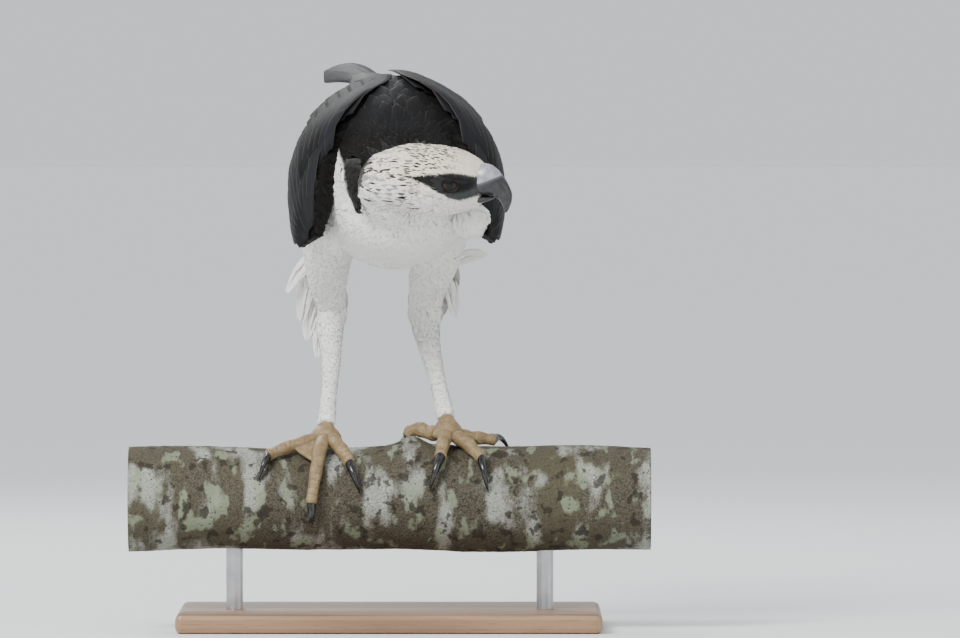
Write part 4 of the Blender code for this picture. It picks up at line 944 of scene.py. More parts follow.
# %% Unwrapping the skin
def unwrap(piece):
    """Unfolds a surface, and gives for each of its faces a place on that map."""
    bpy.ops.object.select_all(action="DESELECT")
    bpy.context.view_layer.objects.active = piece
    piece.select_set(True)
    bpy.ops.object.mode_set(mode="EDIT")
    bpy.ops.mesh.select_all(action="SELECT")
    bpy.ops.uv.smart_project(angle_limit=math.radians(66), island_margin=0.002)
    bpy.ops.object.mode_set(mode="OBJECT")
    piece.data.uv_layers.active.name = "OFBake"
    uv = np.zeros(len(piece.data.loops) * 2, np.float32)
    piece.data.uv_layers["OFBake"].uv.foreach_get("vector", uv)
    return uv.reshape(-1, 2)[np.array([p.loop_start for p in piece.data.polygons])]


skin_map = unwrap(skin)
root_patches = skin_map[owners]
print("unwrapped", len(skin.data.polygons), "faces")

# %% [markdown]
# ## What a feather is made of
#
# A feather's colour comes from its place, but its look comes from its build: a shaft down the middle, and
# fine barbs that slant out and forward from it. Paint on a picture could carry them, but here they are
# computed from the blade's own map: u across and v along. Two attributes bring what differs from feather to
# feather: the colour, and the strength of the dark middle streak and of the pale fringe.

# %% Short ways to build a finish
class Finish:
    """A material with a shader, and short ways to add nodes to it."""

    def __init__(self, name, roughness, **sockets):
        self.material = bpy.data.materials.new(name)
        self.material.use_nodes = True
        self.tree = self.material.node_tree
        self.shader = self.tree.nodes["Principled BSDF"]
        self.shader.inputs["Roughness"].default_value = roughness
        for title, value in sockets.items():
            self.shader.inputs[title.replace("_", " ")].default_value = value

    def put(self, socket, value):
        if isinstance(value, bpy.types.NodeSocket):
            self.tree.links.new(value, socket)
        elif value is not None:
            socket.default_value = value

    def node(self, kind, *inputs, out=0, **settings):
        made = self.tree.nodes.new(kind)
        for title, value in settings.items():
            setattr(made, title, value)
        for socket, value in zip(made.inputs, inputs):
            self.put(socket, value)
        return made.outputs[out]

    def math(self, operation, a, b=0.0, c=None):
        return self.node("ShaderNodeMath", a, b, c, operation=operation)

    def ramp(self, low, high, value):
        """0 below low, 1 above high, smooth between them."""
        made = self.tree.nodes.new("ShaderNodeMapRange")
        made.interpolation_type = "SMOOTHSTEP"
        for title, item in (("Value", value), ("From Min", low), ("From Max", high)):
            self.put(made.inputs[title], item)
        return made.outputs["Result"]

    def blend(self, share, a, b, mode="MIX"):
        """The Mix node's colour sockets: 0 is the share, 6 and 7 are the colours, 2 is the result."""
        made = self.tree.nodes.new("ShaderNodeMix")
        made.data_type, made.blend_type = "RGBA", mode
        self.put(made.inputs[0], share)
        self.put(made.inputs[6], a if not isinstance(a, tuple) else (*a, 1.0)[:4])
        self.put(made.inputs[7], b if not isinstance(b, tuple) else (*b, 1.0)[:4])
        return made.outputs[2]

    def times(self, a, b):
        return self.math("MULTIPLY", a, b)

    def fade(self, low, high, value, a, b):
        """Colour a where the value is below low, and b where it is above high."""
        return self.blend(self.ramp(low, high, value), a, b)

    def film(self, low, high, value, strength, below, colour):
        """A film of colour over another one, where the value is high."""
        return self.blend(self.times(self.ramp(low, high, value), strength), below, colour)

    def rough(self, value, swing, base):
        self.put(self.shader.inputs["Roughness"], self.math("MULTIPLY_ADD", value, swing, base))

    def shaded(self, colour, share):
        return self.blend(1.0, colour, self.node("ShaderNodeCombineColor", share, share, share), "MULTIPLY")

    def noise(self, scale, detail=3.0, where=None):
        made = self.tree.nodes.new("ShaderNodeTexNoise")
        self.put(made.inputs["Vector"], where or self.object_place())
        made.inputs["Scale"].default_value = scale
        made.inputs["Detail"].default_value = detail
        return made.outputs["Fac"]

    def object_place(self):
        return self.node("ShaderNodeTexCoord", out=3)

    def mapped(self, scale=None, move=None):
        """The piece's own coordinates, stretched or moved."""
        return self.node("ShaderNodeMapping", self.object_place(), move, None, scale)

    def attribute(self, name, out=0):
        """What a vertex carries: output 0 is a colour, 1 a vector and 2 a value."""
        return self.node("ShaderNodeAttribute", attribute_name=name, out=out)

    def parts(self, vector):
        made = self.tree.nodes.new("ShaderNodeSeparateXYZ")
        self.put(made.inputs[0], vector)
        return made.outputs

    def colour(self, value):
        self.put(self.shader.inputs["Base Color"], value)

    def bump(self, height, strength, distance, normal=None):
        made = self.tree.nodes.new("ShaderNodeBump")
        self.put(made.inputs["Normal"], normal)
        made.inputs["Strength"].default_value = strength
        made.inputs["Distance"].default_value = distance
        self.put(made.inputs["Height"], height)
        self.put(self.shader.inputs["Normal"], made.outputs[0])


print("finishes can be built")

# %% [markdown]
# ## Barbs, shaft, streak and fringe
#
# From afar a feather is one colour, but close to it is thousands of barbs. A sine wave that runs slantwise
# over the blade's map draws them, finer on flight feathers than on down. Streak, rim and shaft are laid
# over it.

# %% The feather finish
def feather_finish(name, barbs, contrast, roughness, sheen, shaft=(0.5, 0.47, 0.42), shaft_share=0.35,
                   soft=0.0):
    """Barbs, shaft, dark streak and pale fringe over the colour that each feather brings.

    With soft above 0 the blade is shaded partly as the skin below it, which is how loose down looks."""
    look = Finish(name, roughness, Sheen_Weight=sheen, Sheen_Roughness=0.6, Specular_IOR_Level=0.10)
    map_place = look.parts(look.node("ShaderNodeUVMap", uv_map="Vane"))
    marks = look.parts(look.attribute("Marks", out=1))
    off = look.times(look.math("ABSOLUTE", look.math("SUBTRACT", map_place[0], 0.5)), 2.0)
    slant = look.math("SUBTRACT", look.times(map_place[1], barbs), look.times(off, barbs * 0.22))
    uneven = look.times(look.noise(420.0, 2.0), 3.0)
    wave = look.math("SINE", look.times(look.math("ADD", slant, uneven), 2 * math.pi))
    shade = look.math("MULTIPLY_ADD", wave, contrast, 1.0 - contrast)
    base = look.shaded(look.attribute("Coat"), shade)
    drop = look.times(look.ramp(0.75, 0.45, off), look.ramp(0.22, 0.45, map_place[1]))
    base = look.blend(look.times(drop, marks[0]), base, STREAK)
    rim = look.math("MAXIMUM", look.ramp(0.80, 0.98, off), look.ramp(0.90, 0.985, map_place[1]))
    base = look.blend(look.times(rim, marks[1]), base, (0.060, 0.052, 0.044))
    line = look.times(look.ramp(0.07, 0.025, off), look.ramp(0.95, 0.75, map_place[1]))
    base = look.blend(look.times(line, shaft_share), base, shaft)
    look.colour(base)
    normal = None
    if soft:
        blend = look.tree.nodes.new("ShaderNodeMix")
        blend.data_type = "VECTOR"
        blend.inputs[0].default_value = soft
        look.put(blend.inputs[4], look.node("ShaderNodeNewGeometry", out=1))
        look.put(blend.inputs[5], look.attribute("Outward", out=1))
        normal = look.node("ShaderNodeVectorMath", blend.outputs[1], operation="NORMALIZE")
    look.bump(look.math("ADD", wave, look.times(line, 3.0)), 0.22, 0.0002, normal)
    return look.material


soft_feather = feather_finish("soft_feather", 26.0, 0.05, 0.8, 0.15, shaft_share=0.0, soft=0.44)
loose_feather = feather_finish("loose_feather", 30.0, 0.05, 0.8, 0.15, shaft_share=0.0)
head_feather = feather_finish("head_feather", 14.0, 0.06, 0.75, 0.12, shaft_share=0.0, soft=0.42)
dark_feather = feather_finish("dark_feather", 44.0, 0.13, 0.60, 0.02, shaft=(0.005, 0.004, 0.004),
                              shaft_share=0.6)
print("feather finishes: soft, loose, head, dark")

# %% [markdown]
# ## Down on the skin
#
# Between the feathers shows short, dull down in the colour of its place, painted a quarter darker as shade
# under the feathers. A bare skin would shine through any gap. Noise and a strong bump make it look matted.

# %% The skin's own finish
skin_spots = spots_of(skin)
skin_shares = shares_of(skin_spots)
skin_colour = markings(skin_spots, skin_shares)[0]
mask_share, mask_and_shade_tone = mask_at(skin_spots)
mask_share *= np.clip(head_share(skin_shares), 0, 1)
# Painted shade: the down is a quarter darker than its place, for the shade under the feathers
give_colour(skin.data, "Coat", mix(skin_colour, mask_and_shade_tone, mask_share) * 0.75)
down = Finish("skin_down", 0.85, Sheen_Weight=0.2)
fluff = down.noise(900.0, 4.0)
shade = down.math("MULTIPLY_ADD", down.ramp(0.3, 0.7, fluff), 0.3, 0.7)
down.colour(down.shaded(down.attribute("Coat"), shade))
down.bump(fluff, 0.5, 0.0006)
skin.data.materials.append(down.material)
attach(skin, "root")
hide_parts("head", "neck", "torso", "thigh_right", "thigh_left", "tarsus_right", "tarsus_left")
print("skin finished")

# %% [markdown]
# ## Where feathers grow, and of which kind
#
# None grows under a wing, round the eye, on the cere or right over the branch. Each other root goes to the
# kind of coat that its part of the body wears.

# %% Roots sorted by coat
ways = lie_of(points, root_shares)
colour, streaks, fringe, dark = markings(points, root_shares)
colour[streaky] = STREAK
WING_NEAR = 0.045
wing_trees = [BVHTree.FromObject(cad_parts["wing_" + side], bpy.context.evaluated_depsgraph_get())
              for side in ("right", "left")]
_, root_normals = on_skin(points)
flat_ways = unit(ways - (ways * root_normals).sum(axis=1, keepdims=True) * root_normals)


def covered(places):
    """True where a wing lies close over the skin."""
    hidden = np.zeros(len(places), bool)
    for tree in wing_trees:
        hidden |= np.array([tree.ray_cast(Vector(p) * MM, n, WING_NEAR)[0] is not None
                            for p, n in zip(places.tolist(), root_normals.tolist())])
    return hidden


under_wing = covered(points) & covered(points + flat_ways * root_sizes[:, :1])
ahead, beside, rise = to_head(points)
eye_off = np.hypot(ahead - EYE_ALONG, rise - EYE_RISE)
bare = (eye_off < 6.6) & (np.abs(beside) > 10) & (ahead > 0) | (ahead > 32.0)
bare |= points[:, 2] - FEET[2] < 3
grows = ~(under_wing | bare)
strongest = np.array(list(root_shares))[np.argmax(np.stack(list(root_shares.values())), axis=0)]
region = np.where(np.char.startswith(strongest, "brow"), "head", strongest)
region = np.where((region == "torso") & (dark > 0.5), "back", region)
region = np.where(np.isin(region, ("torso", "lobe")) & (to_body(points)[1] < -30), "breast", region)
region = np.where(region == "torso", "belly", region)
region = np.where(np.char.startswith(region, "lock"), "neck", region)
region = np.where((region == "head") & (ahead > 6), "face", region)
print("feathers to lay:", grows.sum(), "of", len(points))

# %% [markdown]
# ## The coat, part by part
#
# Every kind of coat becomes one piece with its own finish. Each feather differs a little from the next in
# way, size and tone, as worn plumage does. The mask, with the painted shade of the brow in it, and the
# patches beside the neck cut straight across feathers, so they are painted on by place.

# %% The coat
COATS = {  # finish, a name for the kind of feather, rows, columns, fraying, share of the length that the rounded tip takes
    "face": (head_feather, "head_feather", 6, 4, 0.12, 0.6),
    "head": (head_feather, "head_feather", 7, 4, 0.14, 0.6),
    "neck": (soft_feather, "neck_feather", 7, 5, 0.16, 0.5),
    "back": (dark_feather, "mantle_feather", 11, 7, 0.02, 0.30),
    "rump": (soft_feather, "white_down", 7, 6, 0.15, 0.5),
    "breast": (soft_feather, "white_down", 7, 6, 0.2, 0.5),
    "belly": (soft_feather, "white_down", 7, 6, 0.2, 0.5),
    "leg_right": (soft_feather, "leg_down", 7, 5, 0.18, 0.5),
    "leg_left": (soft_feather, "leg_down", 7, 5, 0.18, 0.5),
    "shin_right": (soft_feather, "leg_down", 5, 4, 0.22, 0.7),
    "shin_left": (soft_feather, "leg_down", 5, 4, 0.22, 0.7),
}


def repaint(piece, marks_at):
    """Colours a piece by place, where marks_at gives shares and tones."""
    spots = spots_of(piece)
    layer = piece.data.attributes["Coat"].data
    colours = np.zeros(len(spots) * 4, np.float32)
    layer.foreach_get("color", colours)
    colours = colours.reshape(-1, 4)
    for share, tone in marks_at(spots):
        colours[:, :3] = mix(colours[:, :3], tone, share)
    layer.foreach_set("color", colours.ravel())


def neck_marks(spots):
    patch, band = beside_neck(spots)
    return (band, UMBER), (patch, WHITE)


for name, (finish, slot, rows, columns, frayed, blunt) in COATS.items():
    here = grows & (region == name)
    count = here.sum()
    turn = (rng.random((count, 3)) - 0.5) * 0.22
    varied = root_sizes[here][:, (0, 1, 3)] * (0.85 + 0.3 * rng.random((count, 3)))
    tint = colour[here] * (0.93 + 0.14 * rng.random((count, 1)))
    chosen = step_between(0.68, 0.72, rng.random(count))
    marks = np.stack([streaks[here] * chosen, fringe[here] * (0.3 + rng.random(count)), rng.random(count)],
                     axis=1)
    coat = lay_feathers("coat_" + name, points[here], ways[here] + turn, varied, tint, np.clip(marks, 0, 1),
                        root_patches[here], rows, columns, frayed, blunt)
    if name in ("face", "head"):
        repaint(coat, lambda spots: (mask_at(spots),))
    if name in ("neck", "back", "breast"):
        repaint(coat, neck_marks)
    coat.data.materials.append(finish)
    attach(coat, "root")
    if name == "back":
        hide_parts("mantle")
    print(coat.name, count, "feathers,", len(coat.data.polygons) * 2, "triangles")

# %% [markdown]
# ## Folded wings, tier upon tier
#
# A folded wing is a stack of tiers: long primaries at the bottom of the stack, then secondaries, greater,
# median and lesser coverts, and the scapulars that close the gap to the back. Each tier is a row of
# feathers that overlap like roof tiles. Modelling each by hand would take days. Here a wing is one curved
# face, with places on it given along and across, and every feather is a blade laid on that face between its
# root and its tip.

# %% The wing's face
WINGS = {  # place along the body, then lower edge, bulge and upper edge of the folded wing as (side, height)
    "right": [(-84, (65, 145), (70, 152), (59, 161)), (-74, (71, 140), (78, 160), (56, 188)),
              (-56, (70, 139), (85, 177), (49, 217)), (-30, (66, 141), (95, 204), (30, 243)),
              (0, (63, 146), (99, 220), (13, 254)), (60, (57, 159), (91, 231), (9, 260)),
              (120, (48, 177), (70, 236), (9, 256)), (180, (38, 203), (47, 234), (8, 247)),
              (240, (26, 220), (27, 238), (-5, 247)), (305, (10, 231), (2, 241), (-14, 239))],
    "left": [(-84, (62, 148), (67, 154), (58, 163)), (-74, (67, 143), (76, 163), (55, 191)),
             (-56, (68, 142), (84, 179), (49, 219)), (-30, (66, 144), (95, 203), (31, 247)),
             (0, (64, 150), (101, 221), (13, 258)), (60, (58, 166), (94, 238), (7, 263)),
             (120, (47, 187), (70, 249), (0, 265)), (180, (30, 226), (20, 280), (-26, 262)),
             (240, (8, 262), (-9, 291), (-45, 264)), (305, (-9, 279), (-27, 286), (-50, 270))],
}


def wing_place(side, along, across, height=0.0):
    """A place on the wing's outer face: across is 0 at its lower edge and 1 at its upper one."""
    along, t, height = np.broadcast_arrays(*(np.asarray(v, float) for v in (along, across, height)))
    low, bulge, high = (smooth_points([s[0] for s in WINGS[side]], [s[k] for s in WINGS[side]], along)
                        for k in (1, 2, 3))
    t = t[..., None]
    place = (1 - t) ** 2 * low + 2 * t * (1 - t) * bulge + t * t * high
    slope = 2 * (1 - t) * (bulge - low) + 2 * t * (high - bulge)
    place = place + unit(np.stack([slope[..., 1], -slope[..., 0]], axis=-1)) * height[..., None]
    return from_body((-1 if side == "right" else 1) * place[..., 0], along, place[..., 1])


def wing_spread(side, along, across):
    """How many millimetres one unit of across covers."""
    return np.linalg.norm(wing_place(side, along, across + 0.02) - wing_place(side, along, across - 0.02),
                          axis=-1) / 0.04


print("width of the right wing at the shoulder:", wing_spread("right", 0.0, 0.5).round(), "mm")

# %% [markdown]
# ## The tiers
#
# One line of the table is one tier: how many feathers, where the first and the last have their root and tip
# on the wing's face, how deep they lie, and how broad, tilted and round they are. The others follow evenly,
# with a little disorder.

# %% Tiers of feathers
TIERS = (  # name, count, first and last root, first and last tip, swell, heights, half width, tilt, tip, rim
    ("primary", 9, (116, 0.10), (124, 0.64), (258, 0.16), (298, 0.87), 10, (-14.2, -10.6, -10.0), 10.0, 2.3,
     0.16, 0.12),
    ("secondary", 12, (34, 0.12), (24, 0.90), (156, 0.13), (200, 0.89), 12, (-11.0, -6.9, -6.3), 14.5, 2.6,
     0.10, 0.35),
    ("greater", 13, (-16, 0.12), (-12, 0.91), (70, 0.12), (106, 0.89), 6, (-8.0, -3.3, -2.8), 12.0, 2.2, 0.13,
     0.5),
    ("median", 13, (-44, 0.12), (-36, 0.90), (24, 0.12), (46, 0.88), 4, (-5.4, -0.9, -0.4), 10.0, 1.9, 0.15,
     0.6),
    ("lesser_3", 13, (-60, 0.15), (-54, 0.90), (-4, 0.12), (10, 0.88), 3, (-4.0, 0.2, 0.6), 8.6, 1.5, 0.17,
     0.55),
    ("lesser_2", 12, (-70, 0.18), (-64, 0.88), (-26, 0.13), (-16, 0.87), 2, (-3.4, 0.6, 1.0), 7.6, 1.2, 0.2,
     0.5),
    ("lesser_1", 11, (-79, 0.20), (-73, 0.86), (-45, 0.13), (-38, 0.86), 2, (-3.0, 0.7, 1.1), 6.8, 1.0, 0.22,
     0.5),
    ("marginal", 10, (-84, 0.22), (-80, 0.84), (-62, 0.14), (-57, 0.85), 1, (-2.4, 0.5, 0.9), 6.0, 0.8, 0.25,
     0.45),
    ("edge", 8, (-88, 0.25), (-85, 0.80), (-74, 0.14), (-71, 0.84), 1, (-2.0, 0.2, 0.6), 5.2, 0.6, 0.3, 0.4),
    ("scapular_3", 6, (-26, 0.74), (-16, 1.02), (58, 0.70), (96, 0.96), 4, (-3.0, 1.2, 1.7), 10.5, 1.6, 0.14,
     0.5),
    ("scapular_2", 6, (-48, 0.74), (-42, 1.02), (20, 0.70), (50, 0.98), 4, (-3.0, 2.0, 2.5), 10.0, 1.5, 0.16,
     0.5),
    ("scapular_1", 6, (-64, 0.72), (-60, 1.0), (-14, 0.70), (8, 0.98), 3, (-3.0, 2.4, 2.9), 9.0, 1.3, 0.18,
     0.5),
)


def tier_blades(side, tier, rows, columns):
    """The places of all the feathers of one tier."""
    _, count, root_a, root_b, tip_a, tip_b, swell, heights, half, tilt, blunt, _ = tier
    faces, u, v = blade_grid(rows, columns, 1.8)
    s = np.linspace(0, 1, count)[:, None]
    root, tip = (np.array(a) * (1 - s) + np.array(b) * s for a, b in ((root_a, root_b), (tip_a, tip_b)))
    tip[:, :1] += swell * np.sin(np.pi * s)
    root, tip = (p + (rng.random(p.shape) - 0.5) * (3.0, 0.012) for p in (root, tip))
    reach = v[None] - (v[None] ** 4) * 0.10 * u[None] ** 2
    along = root[:, :1] + (tip - root)[:, :1] * reach
    across = root[:, 1:] + (tip - root)[:, 1:] * reach
    width = half * (0.92 + 0.16 * rng.random((count, 1))) * feather_width(0.12 + 0.88 * v, blunt)[None]
    width = width * (1 + 0.25 * (v[None] - 0.5))
    height = np.interp(reach, (0, 0.16, 1), heights) - tilt * u[None] * width / half
    height = height + 0.10 * (1 - u[None] ** 2) * width + (rng.random((count, 1)) - 0.5) * 0.3
    places = wing_place(side, along, across + u[None] * width / wing_spread(side, along, across), height)
    return faces if side == "right" else faces[:, ::-1], places, u, v, s[:, 0]


print("wing feathers to a side:", sum(tier[1] for tier in TIERS))

# %% [markdown]
# ## From blades to a piece
#
# A big feather is firm, and its edge shows, so a modifier gives it thickness. Each has its own cell on the
# map for baking.

# %% Pieces of big feathers
def joined(pieces, name):
    with bpy.context.temp_override(active_object=pieces[0], selected_editable_objects=pieces,
                                   object=pieces[0]):
        bpy.ops.object.join()
    pieces[0].name = pieces[0].data.name = name
    return pieces[0]


def feather_piece(name, batches, finish):
    """Joins batches of blades into one piece, each feather with its own cell of the map for baking."""
    made, cell = [], 0
    for faces, places, u, v, colour, marks in batches:
        count = len(places)
        vane = vane_of(count, u, v)
        spot = np.arange(cell, cell + count)
        corner = np.stack([(spot % 14) / 14, (spot // 14) / 14], axis=-1)
        patch = corner[:, None, :] + vane * 0.064 + 0.003
        cell += count
        made.append(joined_blades("batch", places, faces, vane, patch, colour, marks))
    whole = joined(made, name)
    whole.data.materials.append(finish)
    thick = whole.modifiers.new("vane", "SOLIDIFY")
    thick.thickness, thick.offset = 0.28 * MM, -1
    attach(whole, "root")
    return whole


def upper_tones(count, points_high, fringe, sky_grey=0.3):
    """A dark tone for each feather, turned slate by painted sky light the higher it lies, and its marks."""
    share = np.clip(sky_grey + 0.7 * points_high + 0.35 * (rng.random(count) - 0.5), 0, 1)
    marks = np.stack([np.zeros(count), fringe * (0.3 + rng.random(count)), rng.random(count)], axis=-1)
    return mix(UMBER, SKY_LIT_SLATE, share), np.clip(marks, 0, 1)


flight_feather = feather_finish("flight_feather", 90.0, 0.18, 0.48, 0.03, shaft=(0.004, 0.003, 0.003),
                                shaft_share=0.75)
print("flight feather finish ready")

# %% [markdown]
# ## The arm under the coverts
#
# Under its feathers a wing has flesh and bone. A loft fills that space in dark down, and small coverts wrap
# its front edge and its inner side, laid on it like the coat on the skin.

# %% The arm and its small coverts
ARM = np.array([  # place along, how deep the arm's skin lies under the feathers, and how thick the arm is
    (-84, -1.0, 8.5), (-72, -2.4, 15.5), (-44, -4.2, 16.5), (-14, -6.8, 15), (20, -9, 16), (40, -10.4, 14),
    (90, -12.4, 9.5),
    (130, -13.2, 5), (200, -13.2, 2.5), (250, -13.2, 1.6),
], float)
dark_down = Finish("dark_down", 0.8, Specular_IOR_Level=0.1)
tuft_noise = dark_down.noise(500.0, 4.0)
dark_down.colour(dark_down.fade(0.3, 0.7, tuft_noise, (0.002, 0.0018, 0.0016), (0.005, 0.0045, 0.004)))
dark_down.bump(tuft_noise, 0.6, 0.0008)
BACKWARD = unit(from_body(0, 1, 0) - from_body(0, 0, 0))


def wing_arm(side):
    rings = []
    for along in np.linspace(-84, 200, 28):
        depth, thick = (float(smooth(ARM[:, 0], ARM[:, k], along)) for k in (1, 2))
        across = np.linspace(0.03, 0.97, 16)
        outer = wing_place(side, along, across, depth)
        inner = wing_place(side, along, across[::-1], depth - 1.4 - thick * (1 - abs(2 * across - 1) ** 6))
        rings.append(np.concatenate([outer, inner]))
    return finished("arm_" + side, loft(rings), dark_down.material)


def wrist_coverts(side, arm):
    """Small coverts round the front of the wing and on its inner side."""
    arm_map = unwrap(arm)
    spots, on_face = throw_on(arm.data, 9000, lambda at: step_between(10, -30, to_body(at)[1]) + 0.02)
    kept = thin_out(spots, np.full(len(spots), 2.5))
    spots, on_face = spots[kept], on_face[kept]
    long = np.clip(10 + 0.14 * (to_body(spots)[1] + 84), 9, 18)[:, None]
    long = long * (0.85 + 0.3 * rng.random((len(spots), 1)))
    sizes = np.concatenate([long, long * 0.25, np.full_like(long, 1.3)], axis=1)
    lie = BACKWARD + np.array([0, 0, -0.6]) + (rng.random((len(spots), 3)) - 0.5) * 0.2
    tone, marks = upper_tones(len(spots), np.zeros(len(spots)), 0.15, 0.0)
    wrap = lay_feathers("wrist_coverts_" + side, spots, lie, sizes, tone, marks, arm_map[on_face], 6, 5, 0.03,
                        0.6,
                        tree=tree_over(arm))
    wrap.data.materials.append(dark_feather)
    return wrap


print("back end of the arm:", wing_place("right", 200, 0.5).round(), "mm")

# %% [markdown]
# ## Both wings
#
# Now all of it comes together, one side after the other. Flight feathers and coverts are separate pieces,
# since the long ones are shinier and have finer barbs.

# %% Wing feathers
for side in ("right", "left"):
    batches = {"flights": [], "coverts": []}
    for tier in TIERS:
        long_ones = tier[0] in ("primary", "secondary")
        faces, places, u, v, s = tier_blades(side, tier, 26 if long_ones else 14, 9 if long_ones else 7)
        # Painted sky light: feathers nearer the wing's upper edge are greyer
        tone, marks = upper_tones(len(places), step_between(0.45, 0.95, s), tier[-1])
        batch = (faces, places, u, v, *spread_over(places, tone, marks))
        batches["flights" if long_ones else "coverts"].append(batch)
    flights = feather_piece("flights_" + side, batches["flights"], flight_feather)
    coverts = feather_piece("coverts_" + side, batches["coverts"], dark_feather)
    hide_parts("wing_" + side)
    arm = wing_arm(side)
    wrap = wrist_coverts(side, arm)
    for piece in (flights, coverts, arm, wrap):
        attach(piece, "root")
    print(side, "wing:", sum(len(p.data.polygons) for p in (flights, coverts)), "faces")

# %% [markdown]
# ## The tail
#
# Twelve long feathers lie almost closed, the middle pair on top. They are brown, with dark bars that grow
# wider towards the tip. The bars could be painted by a texture across the whole tail, but on a real bird
# each feather carries its own, so they are given to each blade along its length.

# %% The tail's face
def tail_place(side, along, height):
    z = TAIL_BASE[2] + along * TAIL_PITCH - 0.0042 * side * side + height
    return from_body(side, TAIL_BASE[1] + along, z)


def tail_blades(turns, lengths, heights, half, sides, start, droop, lean, rows, columns, tip=0.08):
    """Blades over the tail's face; lean tips each a little towards the outside."""
    faces, u, v = blade_grid(rows, columns, 1.3)
    turns, lengths, heights, sides = (np.asarray(x, float)[:, None]
                                      for x in (np.radians(turns), lengths, heights, sides))
    reach = v[None] - v[None] ** 6 * 0.08 * u[None] ** 2
    width = half * feather_width(0.10 + 0.9 * v, tip)[None]
    along = lengths * reach
    side = sides + along * np.sin(turns) + u[None] * width * np.cos(turns)
    onward = start + along * np.cos(turns) - u[None] * width * np.sin(turns)
    height = heights - droop * reach - lean * u[None] * width * np.sign(turns)
    height = height + 0.03 * (1 - u[None] ** 2) * width
    return faces, tail_place(side, onward, height), u, v


print("tail from", tail_place(0, 0, 0).round(), "to", tail_place(0, 262, 0).round(), "mm")

# %% [markdown]
# ## Twelve barred feathers
#
# Each of the six pairs lies a little lower and fans out a little more than the one before. A bar is a
# smooth step up and down again along the blade, bent slightly towards its edges.

# %% Tail feathers
pairs = np.repeat(np.arange(6), 2)
signs = np.tile((-1, 1), 6)
tail_faces, tail_spots, u, v = tail_blades(
    signs * (0.8 + pairs * 1.35), 262.0 - 0.8 * pairs**2, 5.2 - (2 * pairs + (signs < 0)), 15.0,
    signs * (2.5 + 2.0 * pairs),
    8.0, 0.0, 0.006, 64, 9)
bars = np.zeros_like(v)
for middle, half in ((0.30, 0.022), (0.43, 0.024), (0.56, 0.026), (0.69, 0.028), (0.84, 0.045)):
    bars = np.maximum(bars, step_between(half + 0.012, half - 0.008, abs(v - middle + 0.02 * u * u)))
tail_colour = mix((0.042, 0.032, 0.025), (0.010, 0.0085, 0.0075), bars * 0.9)
tail_colour = mix(tail_colour, (0.22, 0.19, 0.16), step_between(0.978, 0.995, v) * 0.6)
tail_marks = np.tile((0.0, 0.15, 0.5), (12, len(u), 1))
tail = feather_piece("tail_feathers",
                     [(tail_faces, tail_spots, u, v, np.tile(tail_colour, (12, 1, 1)), tail_marks)],
                     flight_feather)
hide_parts("tail")
print("tail:", len(tail.data.polygons), "faces")

# %% [markdown]
# ## Covering the tail's root
#
# Four rows of coverts lie over the quills: dark ones above, and longer white ones below. They are the same
# blades as the tail's own, only shorter.

# %% Tail coverts
batches = {"upper": [], "under": []}
for row, (length, out) in enumerate(((88, 5), (66, 5), (46, 6), (30, 6))):
    spots = (np.arange(out) - (out - 1) / 2) / (out / 2)
    for name, top, way in (("upper", 11.5 - row * 0.4 + 0.8, 1), ("under", -12.4 - row * 0.3, -1)):
        faces, places, u, v = tail_blades(spots * 9.0 + 0.01, np.full(out, length + (14 if way < 0 else 0)),
                                          top - way * 2.4 * spots**2, 8.0 - row, spots * (12 + row),
                                          -6 - 5 * row,
                                          5.0 * way if way > 0 else -0.5, 0.02 * way, 16, 7, 0.2)
        if name == "upper":
            # The upper tail coverts take a little of the painted sky grey
            tone, marks = upper_tones(out, np.full(out, 0.2), 0.35)
        else:
            tone, marks = np.tile(WHITE, (out, 1)) * (0.93 + 0.1 * rng.random((out, 1))), np.zeros((out, 3))
            faces = faces[:, ::-1]
        batches[name].append((faces, places, u, v, *spread_over(places, tone, marks)))
for name, finish in (("upper", dark_feather), ("under", soft_feather)):
    feather_piece("tail_coverts_" + name, batches[name], finish)
print("tail coverts:", {name: sum(len(batch[1]) for batch in rows) for name, rows in batches.items()})

# %% [markdown]
# ## Loose feathers of the thighs
#
# The thighs wear long, loose feathers that hang past the heel and fly out in tufts at the sides. The coat
# above is too short for them. Each lock is a bundle of slender blades along one curve: they start at
# different heights, lie side by side across its width, and draw together towards its tip.

# %% Locks and tufts
HEEL_LOCKS = (  # share of the leg's path, turn round it from its front, length and width
    (0.22, 130, 66, 25), (0.25, 180, 74, 27), (0.34, 150, 60, 23), (0.36, 196, 56, 22), (0.43, 176, 48, 20),
)
TUFTS = {  # root and tip from the top of the perch, and width
    "right": [((-50, 20, 136), (-74, 32, 106), 12), ((-56, 30, 124), (-64, 44, 84), 17),
              ((-53, 42, 106), (-60, 48, 72), 15), ((-49, 46, 90), (-52, 46, 60), 12)],
    "left": [((44, 14, 128), (70, 28, 133), 10), ((42, 34, 118), (46, 50, 88), 13)],
}
LOCK_TIMES, LOCK_SHAPE = (0, 0.25, 0.5, 0.75, 1), (0.80, 1.0, 0.92, 0.68, 0.25)


